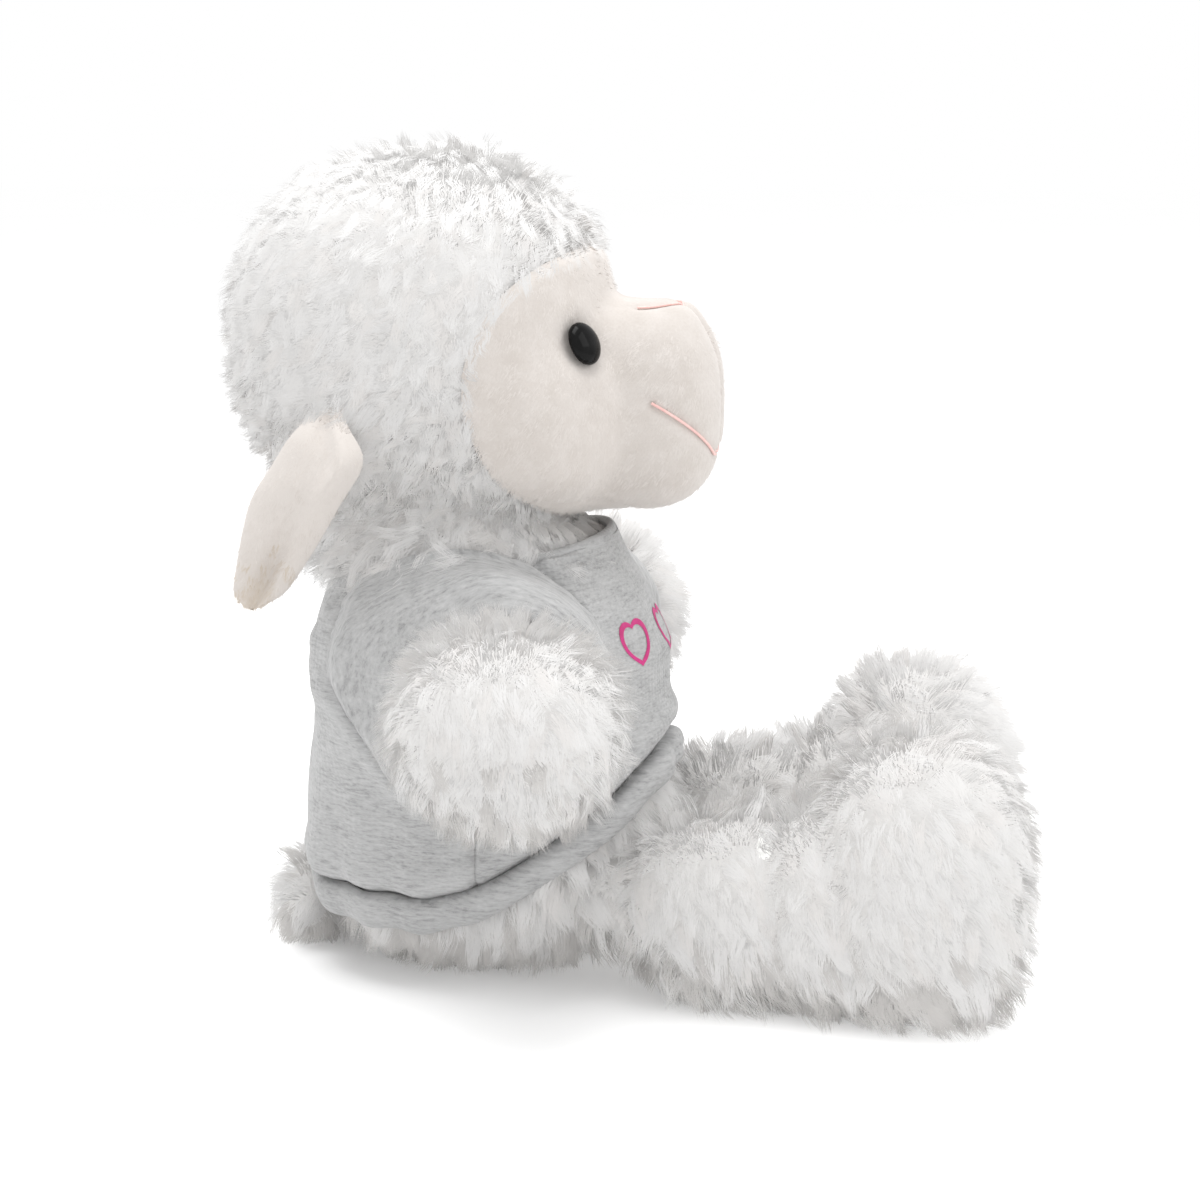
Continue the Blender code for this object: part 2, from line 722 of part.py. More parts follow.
def make_arm(word, side, carrier):
    root = shoulder(side)
    paw = root + Vector((side * PAW_OUT, -PAW_FORWARD, -PAW_DROP))
    wrist = (SHOULDER_BALL_RADIUS + PAW_HALF_HEIGHT) / 2
    lobes = [
        lobe(root, (SHOULDER_BALL_RADIUS,) * 3),
        lobe((root + paw) / 2, [wrist * share for share in WRIST_SHARES]),
        lobe(paw, (PAW_HALF_LENGTH, PAW_HALF_DEPTH, PAW_HALF_HEIGHT), PAW_SQUARENESS),
    ]
    make_limb("arm", word, root, paw, lobes, carrier)


def make_leg(word, side, floor, carrier):
    root = hip(side)
    thigh = Vector((side * (HIP_SIDE + THIGH_OUT), root.y - THIGH_FORWARD, THIGH_HALF_HEIGHT - SEAT_CUT))
    foot = Vector((side * (HIP_SIDE + FOOT_OUT), root.y - FOOT_FORWARD, FOOT_HALF_HEIGHT - SEAT_CUT))
    ankle = (thigh + foot) / 2
    ankle.y = foot.y + ANKLE_BACK
    ankle.z = ANKLE_HALF_HEIGHT - SEAT_CUT
    top = HIP_BALL_RADIUS * LEG_ROOT_SHARE
    lobes = [
        lobe(root, (HIP_BALL_RADIUS,) * 3),
        lobe((root + thigh) / 2, (top, THIGH_FORWARD / 2, top)),
        lobe(thigh, (THIGH_HALF_WIDTH, THIGH_HALF_LENGTH, THIGH_HALF_HEIGHT), THIGH_SQUARENESS),
        lobe(ankle, (ANKLE_HALF_WIDTH, ANKLE_HALF_LENGTH, ANKLE_HALF_HEIGHT), THIGH_SQUARENESS),
        lobe(foot, (FOOT_HALF_WIDTH, FOOT_HALF_DEPTH, FOOT_HALF_HEIGHT), FOOT_SQUARENESS),
    ]
    make_limb("leg", word, root, foot, lobes, carrier, floor)


def make_tail(floor):
    middle = Vector((0, TAIL_SET_BACK, TAIL_HEIGHT))
    puff = [lobe(middle, (TAIL_HALF_WIDTH, TAIL_HALF_DEPTH, TAIL_HALF_HEIGHT), TAIL_SQUARENESS)]
    cover = stuffed("tail_cover", middle, puff, 0, SMALL_GRID, Y_AXIS, kind=WOOL, origin=middle)
    hollow = stuffed("tail_hollow", middle, puff, -TAIL_PILE, SMALL_GRID, Y_AXIS)
    inside = -TAIL_PILE - FILLING_GAP
    filling = stuffed("tail_stuffing", middle, puff, inside, SMALL_GRID, Y_AXIS, kind=STUFFING, origin=middle)
    shirt = torso_shape("tail_shirt", CLOTH_EASE + HEM_THICKNESS + FOLD_DEPTH + SEAM_GAP)
    over_hem = above_hem("tail_under_hem", -SEAM_GAP)
    keep_inside(shirt, over_hem)
    cut(cover, hollow, torso_shape("tail_seat", SEAM_GAP), shirt, floor)
    cut(filling, torso_shape("tail_seat_inside", FILLING_GAP), shirt)


# T-shirt


def cloth_folds(points):
    """Soft upright folds that hang from the chest and deepen towards the hem."""
    folded = points.copy()
    angle = np.arctan2(points[:, 0], -points[:, 1])
    fall = np.clip((FOLD_TOP - points[:, 2]) / (FOLD_TOP - FOLD_BOTTOM), 0, 1)
    drift = FOLD_DRIFT_SHARE * np.sin(FOLD_DRIFT_COUNT * angle)
    push = FOLD_DEPTH * fall * (1 + np.cos(FOLD_COUNT * angle + drift)) / 2
    folded[:, 0] += push * np.sin(angle)
    folded[:, 1] -= push * np.cos(angle)
    return folded


def hem_outline(lift):
    """The hem line seen from the side: low at the back, rising over the thighs."""
    span = HEM_RISE_START - HEM_RISE_END
    line = [(REACH, HEM_BACK_HEIGHT + lift)]
    for step in range(HEM_STEPS + 1):
        share = step / HEM_STEPS
        rise = HEM_FRONT_RISE * share**HEM_CURVE_POWER
        line.append((HEM_RISE_START - share * span, HEM_BACK_HEIGHT + lift + rise))
    slope = HEM_CURVE_POWER * HEM_FRONT_RISE / span
    line.append((line[-1][0] - span, line[-1][1] + slope * span))
    return line


def below_hem(name, lift):
    line = hem_outline(lift)
    return slab(name, line + [(line[-1][0], -REACH), (REACH, -REACH)], -REACH, REACH)


def above_hem(name, lift):
    line = hem_outline(lift)
    return slab(name, line + [(line[-1][0], REACH), (REACH, REACH)], -REACH, REACH)


def sleeve_ring(side, share, grow, folded=True):
    """One ring of points round the sleeve, a share of the way from the armhole to its hem."""
    x = side * (SLEEVE_START + (SLEEVE_END - SLEEVE_START) * share)
    y_middle = ARMHOLE_SET_BACK - SLEEVE_FORWARD * share
    z_middle = ARMHOLE_HEIGHT - SLEEVE_DROP * share
    height_share = 1 - SLEEVE_FLATTEN_SHARE * max(share, 0)
    ring = []
    for step in range(SLEEVE_SIDES):
        angle = 2 * math.pi * step / SLEEVE_SIDES
        fold = SLEEVE_FOLD * share * (1 - math.cos(SLEEVE_FOLDS * angle)) / 2 if folded else 0
        around = ARMHOLE_RADIUS + SLEEVE_FLARE * share + grow - fold
        above = around * height_share * math.cos(angle)
        ring.append((x, y_middle + around * math.sin(angle), z_middle + above))
    return ring


def armhole(word, side):
    """The room that a sleeve takes out of the shirt's panels."""
    points = []
    for share in ARMHOLE_RING_SHARES:
        points += sleeve_ring(side, share, SEAM_GAP, folded=False)
    return new_object(f"armhole_{word}", points, tube_faces(len(ARMHOLE_RING_SHARES), SLEEVE_SIDES))


def collar_shape(name, section, closed=False, **placing):
    """Ellipses of the neck band, each grown and raised by one pair of the section, joined in turn."""
    points = []
    for grow, rise in section:
        for side in range(ROUND_SIDES):
            angle = 2 * math.pi * side / ROUND_SIDES
            across = (COLLAR_HALF_WIDTH + grow) * math.sin(angle)
            back = (COLLAR_HALF_DEPTH + grow) * math.cos(angle)
            y = COLLAR_SET_BACK + back * math.cos(COLLAR_TILT) + rise * math.sin(COLLAR_TILT)
            z = COLLAR_HEIGHT - back * math.sin(COLLAR_TILT) + rise * math.cos(COLLAR_TILT)
            points.append((across, y, z))
    return new_object(name, points, tube_faces(len(section), ROUND_SIDES, closed), **placing)


def neck_hole():
    return collar_shape("neck_hole", ((SEAM_GAP, -COLLAR_HOLE_DEPTH), (SEAM_GAP, REACH)))


def make_shirt(neck_opening):
    inside = torso_shape("shirt_inside", CLOTH_EASE)
    trim = below_hem("hem_trim", HEM_BAND + SEAM_GAP)
    armholes = [armhole(word, side) for word, side in SIDES]
    panel_size = CLOTH_EASE + CLOTH
    for name, offset, far in (("shirt_front", -SEAM_GAP / 2, -REACH), ("shirt_back", SEAM_GAP / 2, REACH)):
        near = SIDE_SEAM_SET_BACK + offset
        outline = ((near, -REACH), (far, -REACH), (far, REACH), (near, REACH))
        panel = torso_shape(name, panel_size, folds=cloth_folds, kind=JERSEY, origin=TORSO)
        cut(panel, inside, neck_opening, trim, *armholes)
        keep_inside(panel, slab(f"{name}_side", outline, -REACH, REACH))

    band_size = CLOTH_EASE + HEM_THICKNESS
    hem = torso_shape("hem_band", band_size, folds=cloth_folds, kind=RIBBING, origin=TORSO)
    cut(hem, inside, below_hem("hem_low", 0), above_hem("hem_high", HEM_BAND))
    section = ((-COLLAR_THICKNESS, -COLLAR_BAND), (0, -COLLAR_BAND), (0, 0), (-COLLAR_THICKNESS, 0))
    collar = collar_shape("neck_band", section, closed=True, kind=RIBBING, origin=NECK)
    cut(collar, ball("collar_socket", NECK, NECK_BALL_RADIUS + NECK_GAP))
    cut(collar, torso_shape("collar_seat", SEAM_GAP))


def make_sleeve(word, side, neck_opening, carrier):
    shares = [row / SLEEVE_ROWS for row in range(SLEEVE_ROWS + 1)]
    rings = [sleeve_ring(side, share, 0) for share in shares]
    rings += [sleeve_ring(side, share, -CLOTH) for share in reversed(shares)]
    points = [point for ring in rings for point in ring]
    faces = tube_faces(len(rings), SLEEVE_SIDES, closed=True)
    sleeve = new_object(f"sleeve_{word}", points, faces, kind=JERSEY, origin=shoulder(side), parent=carrier)
    cut(sleeve, torso_shape(f"sleeve_seat_{word}", CLOTH_EASE), neck_opening)


def main():
    clear_scene()
    floor = floor_cutter()
    neck_opening = neck_hole()
    make_torso(floor)
    make_shirt(neck_opening)
    make_tail(floor)
    make_neck(pivot("neck_axis", NECK))
    make_head(pivot("head_axis", NECK))
    for word, side in SIDES:
        ear_axis = pivot(f"ear_axis_{word}", ear_pivot(side))
        ear_layer(f"ear_front_{word}", side, 1, ear_axis)
        ear_layer(f"ear_back_{word}", side, -1, ear_axis)
        shoulder_axis = pivot(f"shoulder_axis_{word}", shoulder(side))
        make_arm(word, side, shoulder_axis)
        make_sleeve(word, side, neck_opening, shoulder_axis)
        make_leg(word, side, floor, pivot(f"hip_axis_{word}", hip(side)))


main()
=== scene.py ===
"""Looks of a seated plush sheep: curly wool, a velour face and ears, and a grey jersey T-shirt.

Metres, +Z up, face along -Y, the sheep's right side at -X. Every stuffed form repeats the lobes of
the solids. Fur is made of thin ribbons that run together into pointed locks.
"""

import math

import bpy
import numpy as np
from mathutils import Matrix, Vector, bvhtree, kdtree


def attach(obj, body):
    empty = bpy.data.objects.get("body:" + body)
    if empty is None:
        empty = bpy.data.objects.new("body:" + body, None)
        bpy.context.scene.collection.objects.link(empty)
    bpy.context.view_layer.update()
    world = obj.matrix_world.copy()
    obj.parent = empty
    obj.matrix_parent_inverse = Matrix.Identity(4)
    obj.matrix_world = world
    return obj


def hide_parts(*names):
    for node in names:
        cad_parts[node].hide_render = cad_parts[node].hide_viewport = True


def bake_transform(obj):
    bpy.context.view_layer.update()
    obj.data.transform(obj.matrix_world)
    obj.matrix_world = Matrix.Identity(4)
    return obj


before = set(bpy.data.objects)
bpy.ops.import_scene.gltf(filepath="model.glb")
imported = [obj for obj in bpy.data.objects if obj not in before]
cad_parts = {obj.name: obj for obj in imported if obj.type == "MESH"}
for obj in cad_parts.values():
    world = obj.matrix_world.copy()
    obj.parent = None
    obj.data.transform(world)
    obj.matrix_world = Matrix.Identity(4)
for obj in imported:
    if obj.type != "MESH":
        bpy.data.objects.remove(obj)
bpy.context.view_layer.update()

chance = np.random.default_rng(11)

# Sizes that the solids share
PILE = 0.0050
SHORT_PILE = 0.0030
LOBE_SHARPNESS = 16
REACH = 0.1600
REACH_STEPS = 96
HALVINGS = 24
PROBE = 0.0005
TORSO_HALF = (0.0400, 0.0415, 0.0490)
TORSO_TABLE = (
    ((0, 0.02, -0.2449), (0.98, 1.0, 0.7653), 2.4),
    ((0, 0.07, 0.4286), (1.04, 0.86, 0.5510), 3.2),
)
TORSO = (0, 0, 0.0485)
NECK = (0, 0.0080, 0.1000)
NECK_BALL = 0.0286
HEAD = (0, 0.0080, 0.1480)
HEAD_CORE = (0, -0.0060, 0.1420)
CROWN = (0, 0.0060, 0.1780)
HEAD_HALF = (0.0460, 0.0560, 0.0450)
HEAD_TABLE = (
    ((0, 0.14, 0.05), (1.0, 0.82, 0.955), 2.3),
    ((0, -0.33, -0.36), (0.87, 0.47, 0.60), 2.3),
    ((0, -0.70, -0.33), (0.50, 0.45, 0.585), 2.8),
    ((0, -0.16, 0.20), (0.72, 0.46, 0.42), 2.2),
)
FACE_EDGE = (-0.0345, 0.1375)
FACE_EDGE_RADIUS = 0.0340
SHOULDER = (0.0430, -0.0010, 0.0730)
SHOULDER_BALL = 0.0165
PAW_STEP = (0.0245, -0.0125, -0.0020)
PAW_HALF = (0.0245, 0.0268, 0.0240)
HIP = (0.0220, -0.0120, 0.0215)
HIP_BALL = 0.0142
THIGH = (0.0325, -0.0610, 0.0230)
THIGH_HALF = (0.0210, 0.0290, 0.0235)
FOOT = (0.0400, -0.1020, 0.0335)
FOOT_HALF = (0.0250, 0.0265, 0.0340)
ANKLE_BACK = 0.0210
ANKLE_HALF = (0.0225, 0.0200, 0.0255)
TAIL = (0, 0.0450, 0.0110)
TAIL_HALF = (0.0170, 0.0110, 0.0115)
EAR_ROOT = (0.0437545, 0.0300, 0.1360)
EYE = (0.025835, -0.024294, 0.148923)
EYE_LOOK = (0.4000, -0.8300, 0.3900)
HEM_BACK_HEIGHT = 0.0155
HEM_FRONT_RISE = 0.0345
HEM_POWER = 1.5
HEM_RISE_START = 0.0105
HEM_RISE_END = -0.0440
HEM_BAND = 0.0070
SIDE_SEAM = -0.0020
ARMHOLE_RADIUS = 0.0230
ARMHOLE = (0.0045, 0.0740)
SLEEVE_START = 0.0300
SLEEVE_END = 0.0520
SLEEVE_FORWARD = 0.0165
SLEEVE_DROP = 0.0010
SLEEVE_FLARE = 0.0050
SLEEVE_FLATTEN = 0.10
COLLAR_HALF = (0.0325, 0.0340)
COLLAR = (0, 0.0045, 0.0970)
COLLAR_TILT = math.radians(12)
CLOTH = 0.0015
CLOTH_EASE = 0.0004

RIGHT = -1
LEFT = 1
SIDES = (("right", RIGHT), ("left", LEFT))
BACKING_FLOOR = 0.0008


def bell(distance, width):
    """One at no distance, and fading to nothing beyond the width."""
    return np.exp(-((distance / width) ** 2))


def portion(length, whole):
    """A length's share of a whole, kept between zero and one."""
    return np.clip(length / whole, 0, 1)


def turns(count):
    """Angles evenly round a circle."""
    return 2 * math.pi * np.arange(count) / count


def turn_to(axis):
    """The rotation that takes +Z to the axis."""
    return np.array(Vector((0, 0, 1)).rotation_difference(Vector(axis)).to_matrix())


def nearest_in(places):
    """A function that finds, for each point, which of the places is nearest."""
    tree = kdtree.KDTree(len(places))
    for index, place in enumerate(places):
        tree.insert(Vector(place), index)
    tree.balance()
    return lambda points: np.array([tree.find(Vector(point))[1] for point in points])


# Rounded unions of lobes


def lobe(middle, half_sizes, squareness=2):
    return (np.array(middle, float), np.array(half_sizes, float), squareness)


def shared_lobes(table, middle, half_sizes):
    middle, half_sizes = np.array(middle, float), np.array(half_sizes, float)
    return [
        lobe(middle + np.array(place) * half_sizes, np.array(size) * half_sizes, squareness)
        for place, size, squareness in table
    ]


def depth_in(points, lobes, grow=0.0):
    """Below zero inside the rounded union of the lobes, each grown by the same length."""
    total = 0
    for middle, half_sizes, squareness in lobes:
        scaled = np.abs(points - middle) / (half_sizes + grow)
        length = (scaled**squareness).sum(axis=-1) ** (1 / squareness)
        total = total + np.exp(-LOBE_SHARPNESS * (length - 1))
    return -np.log(total + 1e-300)


def reach_of(directions, middle, lobes, grow=0.0):
    middle = np.array(middle, float)
    steps = np.linspace(0, REACH, REACH_STEPS)
    along = middle + directions[:, None, :] * steps[None, :, None]
    inside = depth_in(along, lobes, grow) < 0
    outermost = REACH_STEPS - 1 - np.argmax(inside[:, ::-1], axis=1)
    last = np.where(inside.any(axis=1), outermost, 0)
    near = steps[last]
    far = steps[np.minimum(last + 1, REACH_STEPS - 1)]
    for _ in range(HALVINGS):
        half = (near + far) / 2
        within = depth_in(middle + directions * half[:, None], lobes, grow) < 0
        near = np.where(within, half, near)
        far = np.where(within, far, half)
    return near


def facing(points, lobes, grow=0.0):
    """The direction in which the union's surface faces at each point."""
    slope = [
        depth_in(points + axis * PROBE, lobes, grow) - depth_in(points - axis * PROBE, lobes, grow)
        for axis in np.eye(3)
    ]
    return unit(np.stack(slope, axis=-1))


def unit(vectors):
    return vectors / np.maximum(np.linalg.norm(vectors, axis=-1, keepdims=True), 1e-12)


# Smooth noise

NOISE_SIDE = 32
noise_table = chance.random((NOISE_SIDE,) * 3) * 2 - 1


def noise(points, size, shift=0.0):
    """Smooth values between -1 and 1 that change over about the given size."""
    place = points / size + shift
    low = np.floor(place).astype(int)
    part = place - low
    part = part * part * (3 - 2 * part)
    total = 0
    for corner in np.ndindex(2, 2, 2):
        index = (low + np.array(corner)) % NOISE_SIDE
        weight = np.where(np.array(corner) == 1, part, 1 - part).prod(axis=-1)
        total = total + weight * noise_table[index[..., 0], index[..., 1], index[..., 2]]
    return total


# Surfaces as arrays of points and triangles


def grid_triangles(rings, segments):
    """Triangles that join a pole, the rings after it, and the other pole."""
    ring, segment = np.meshgrid(np.arange(rings - 2), np.arange(segments), indexing="ij")
    here = 1 + ring * segments + segment
    after = 1 + ring * segments + (segment + 1) % segments
    body = np.concatenate(
        [
            np.stack([here, here + segments, after + segments], axis=-1).reshape(-1, 3),
            np.stack([here, after + segments, after], axis=-1).reshape(-1, 3),
        ]
    )
    around = np.arange(segments)
    onward = (around + 1) % segments
    end = 1 + (rings - 1) * segments
    last = end - segments
    top = np.stack([np.zeros(segments, int), 1 + around, 1 + onward], axis=-1)
    bottom = np.stack([last + around, np.full(segments, end), last + onward], axis=-1)
    return np.concatenate([top, body, bottom])


def sphere_directions(rings, segments, pole=(0, 0, 1)):
    turn = turn_to(pole)
    polar = math.pi * np.arange(1, rings) / rings
    angle = turns(segments)
    level = np.sin(polar)[:, None]
    ring = np.stack(
        [level * np.cos(angle), level * np.sin(angle), np.cos(polar)[:, None] + 0 * angle], axis=-1
    )
    return np.concatenate([[(0, 0, 1)], ring.reshape(-1, 3), [(0, 0, -1)]]) @ turn.T


def star_surface(middle, lobes, grow, rings, segments, pole=(0, 0, 1)):
    directions = sphere_directions(rings, segments, pole)
    reach = reach_of(directions, middle, lobes, grow)
    return np.array(middle, float) + directions * reach[:, None], grid_triangles(rings, segments)


def limb_surface(start, end, lobes, grow, stations, segments):
    """A closed surface lofted along a limb, from sections square to the line of the limb."""
    line = np.array(end) - np.array(start)
    length_between = np.linalg.norm(line)
    axis = line / length_between
    turn = turn_to(axis)
    behind = reach_of(-axis[None, :], start, lobes, grow)[0]
    ahead = reach_of(axis[None, :], end, lobes, grow)[0]
    tip = np.array(start) - axis * behind
    length = behind + length_between + ahead
    angles = turns(segments)
    spokes = np.stack([np.cos(angles), np.sin(angles), np.zeros(segments)], axis=1) @ turn.T
    points = [tip[None, :]]
    for station in range(1, stations):
        middle = tip + axis * length * (1 - math.cos(math.pi * station / stations)) / 2
        points.append(middle + spokes * reach_of(spokes, middle, lobes, grow)[:, None])
    points.append((tip + axis * length)[None, :])
    return np.concatenate(points), grid_triangles(stations, segments)


def clipped(points, faces, values):
    """The part of a mesh where the values are above zero, cut where they are zero."""
    points = list(points)
    made = {}
    kept = []
    for face in faces:
        face = tuple(face)
        inside = [values[corner] > 0 for corner in face]
        if all(inside):
            kept.append(face)
            continue
        if not any(inside):
            continue
        ring = []
        for step, here in enumerate(face):
            after = face[(step + 1) % len(face)]
            if values[here] > 0:
                ring.append(here)
            if (values[here] > 0) != (values[after] > 0):
                key = (min(here, after), max(here, after))
                if key not in made:
                    share = values[here] / (values[here] - values[after])
                    made[key] = len(points)
                    points.append(points[here] + (points[after] - points[here]) * share)
                ring.append(made[key])
        if len(ring) > 2:
            kept.append(tuple(ring))
    used = sorted({corner for face in kept for corner in face})
    place = {corner: index for index, corner in enumerate(used)}
    return np.array([points[corner] for corner in used]), [
        tuple(place[corner] for corner in face) for face in kept
    ]


def triangulated(faces):
    found = []
    for face in faces:
        for step in range(1, len(face) - 1):
            found.append((face[0], face[step], face[step + 1]))
    return np.array(found)


# Objects


def linked(name, data):
    made = bpy.data.objects.new(name, data)
    bpy.context.scene.collection.objects.link(made)
    return made


def new_piece(name, body, points, faces, looks, slot, stands_for=(), face_map=None):
    mesh = bpy.data.meshes.new(name)
    mesh.from_pydata(
        np.asarray(points).tolist(), [], [tuple(int(c) for c in face) for face in faces]
    )
    mesh.shade_smooth()
    for look in looks if isinstance(looks, (list, tuple)) else [looks]:
        mesh.materials.append(look)
    if face_map is not None:
        layer = mesh.uv_layers.new(name="cut")
        corners = np.empty(len(mesh.loops), int)
        mesh.loops.foreach_get("vertex_index", corners)
        flat = np.empty((len(mesh.loops), 2))
        for polygon in mesh.polygons:
            loops = list(polygon.loop_indices)
            flat[loops] = face_map(np.asarray(points)[corners[loops]])
        layer.data.foreach_set("uv", flat.ravel())
    made = linked(name, mesh)
    if body:
        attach(made, body)
    if stands_for:
        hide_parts(*stands_for)
    return made


def settle(made, *modifiers):
    """Adds modifiers by type and settings, and keeps their result as the piece's mesh."""
    for kind, settings in modifiers:
        step = made.modifiers.new(kind.lower(), kind)
        for key, value in settings.items():
            setattr(step, key, value)
    bpy.context.view_layer.update()
    ready = made.evaluated_get(bpy.context.evaluated_depsgraph_get())
    mesh = bpy.data.meshes.new_from_object(ready)
    made.modifiers.clear()
    made.data = mesh
    mesh.shade_smooth()
    return made


def thread(name, body, lines, radius, look):
    """Sewn thread along one or more lines of points."""
    curve = bpy.data.curves.new(name, "CURVE")
    curve.dimensions = "3D"
    curve.bevel_depth = radius
    curve.bevel_resolution = 2
    curve.use_fill_caps = True
    for line in lines:
        spline = curve.splines.new("POLY")
        spline.points.add(len(line) - 1)
        for point, spot in zip(spline.points, line):
            point.co = (*[float(v) for v in spot], 1)
    curve.materials.append(look)
    made = linked(name, curve)
    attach(made, body)
    return made


def smooth_line(points, count):
    """A Catmull-Rom line through the points."""
    points = [np.array(point, float) for point in points]
    points = [2 * points[0] - points[1], *points, 2 * points[-1] - points[-2]]
    spans = len(points) - 3
    line = []
    for step in range(count):
        place = step / (count - 1) * spans
        span = min(int(place), spans - 1)
        t = place - span
        a, b, c, d = points[span : span + 4]
        line.append(
            0.5 * (
                2 * b + (c - a) * t + (2 * a - 5 * b + 4 * c - d) * t**2 + (
                    3 * b - a - 3 * c + d
                ) * t**3
            )
        )
    return np.array(line)


# Materials


def new_look(name, colour, roughness, **constants):
    look = bpy.data.materials.new(name)
    look.use_nodes = True
    look.diffuse_color = (*colour, 1)
    shader = look.node_tree.nodes["Principled BSDF"]
    shader.inputs["Base Color"].default_value = (*colour, 1)
    shader.inputs["Roughness"].default_value = roughness
    for key, value in constants.items():
        shader.inputs[key.replace("_", " ")].default_value = value
    return look


def add(look, kind, inputs=(), **settings):
    """A node in a look's tree. Inputs are (socket, value or another node's output)."""
    node = look.node_tree.nodes.new(kind)
    for key, value in settings.items():
        setattr(node, key, value)
    for key, value in inputs:
        if isinstance(value, bpy.types.NodeSocket):
            look.node_tree.links.new(value, node.inputs[key])
        else:
            node.inputs[key].default_value = value
    return node


def shader_of(look):
    return look.node_tree.nodes["Principled BSDF"]


def join(look, output, socket):
    look.node_tree.links.new(output, shader_of(look).inputs[socket])


def ramp(look, value, stops):
    node = add(look, "ShaderNodeValToRGB", (("Fac", value),))
    elements = node.color_ramp.elements
    while len(elements) < len(stops):
        elements.new(0.5)
    for element, (place, colour) in zip(elements, stops):
        element.position = place
        element.color = (*colour, 1)
    return node.outputs["Color"]


def place_of(look, scale, uv=False):
    source = add(look, "ShaderNodeTexCoord").outputs["Object"]
    if uv:
        source = add(look, "ShaderNodeUVMap", uv_map="cut").outputs["UV"]
    return add(look, "ShaderNodeMapping", (("Vector", source), ("Scale", scale))).outputs["Vector"]


def grain(look, scale, detail=3, uv=False, roughness=0.5):
    where = place_of(look, scale if isinstance(scale, tuple) else (scale,) * 3, uv)
    return add(
        look,
        "ShaderNodeTexNoise",
        (("Vector", where), ("Scale", 1.0), ("Detail", detail), ("Roughness", roughness)),
    ).outputs["Fac"]


def bump(look, height, strength, distance, under=None):
    inputs = [("Height", height), ("Strength", strength), ("Distance", distance)]
    if under is not None:
        inputs.append(("Normal", under))
    return add(look, "ShaderNodeBump", inputs).outputs["Normal"]


def maths(look, operation, first, second):
    return add(look, "ShaderNodeMath", ((0, first), (1, second)), operation=operation).outputs[0]


def weighed(look, first, share, second, rest):
    """Two values, each times its own share, added up."""
    return maths(
        look, "ADD", maths(look, "MULTIPLY", first, share), maths(look, "MULTIPLY", second, rest)
    )


def soft_look(name, dark, light, fine, coarse, depth, roughness=0.95, **constants):
    """A fabric or pile whose colour drifts between two tones, with a fine raised grain."""
    look = new_look(name, light, roughness, **constants)
    slow = grain(look, coarse)
    quick = grain(look, fine, 4)
    mixed = weighed(look, slow, 0.6, quick, 0.4)
    join(look, ramp(look, mixed, ((0.38, dark), (0.62, light))), "Base Color")
    join(look, bump(look, quick, 0.6, depth), "Normal")
    return look


COURSES_PER_RIB = 1.4
SOFT_SHEEN = {"Sheen_Weight": 0.25, "Sheen_Roughness": 0.5, "Specular_IOR_Level": 0.2}
wool_backing = soft_look(
    "wool_backing", (0.53, 0.52, 0.51), (0.59, 0.58, 0.57), 900, 120, 0.0004, **SOFT_SHEEN
)
velour = soft_look(
    "velour", (0.525, 0.485, 0.452), (0.580, 0.542, 0.512), 1600, 160, 0.00012, **SOFT_SHEEN
)
fill_look = soft_look("fibre_fill", (0.70, 0.70, 0.68), (0.90, 0.90, 0.88), 700, 90, 0.0006)
bag_look = soft_look("pellet_bag_cloth", (0.60, 0.60, 0.57), (0.78, 0.78, 0.75), 1200, 200, 0.0002)
pink_thread = soft_look(
    "pink_thread", (0.78, 0.46, 0.43), (0.86, 0.60, 0.56), 2500, 300, 0.0001, 0.6
)
print_look = soft_look(
    "magenta_print", (0.42, 0.010, 0.13), (0.55, 0.018, 0.19), 900, 200, 0.00005, 0.55
)
washer_look = soft_look(
    "washer_plastic", (0.72, 0.72, 0.70), (0.82, 0.82, 0.80), 400, 100, 0.00005, 0.45
)


def pile_tones(name, tints, shade_rows):
    """Tones of pile from root to tip, for each tint, each row scaled by its shade: darker at the
    root as painted shade between the strands.
    """
    return [
        new_look(
            f"{name}_{tint}_{row}", tuple(value * depth for value in colour), 1.0, **SOFT_SHEEN
        )
        for tint, colour in enumerate(tints)
        for row, depth in enumerate(shade_rows)
    ]


# The last wool tint is darker: painted shade for locks that face the floor or lie near it.
WOOL_TINTS = (
    (0.604, 0.597, 0.592), (0.588, 0.580, 0.573), (0.590, 0.575, 0.564), (0.488, 0.474, 0.462)
)
# A whiter tint for head locks that face the sky: painted light from above.
TOP_LIGHT_TINT = (0.665, 0.660, 0.655)
VELOUR_TINTS = ((0.580, 0.542, 0.512), (0.540, 0.500, 0.468), (0.490, 0.430, 0.366))
# Row shades from root to tip: the darker roots are painted shade, since the strands cast no shadows
# on each other.
wool_tones = pile_tones("wool", WOOL_TINTS, (0.88, 0.96, 1.0))
head_tones = pile_tones("head_wool", (*WOOL_TINTS[:3], TOP_LIGHT_TINT), (0.82, 0.93, 0.98))
velour_tones = pile_tones("velour_nap", VELOUR_TINTS, (1.0,))


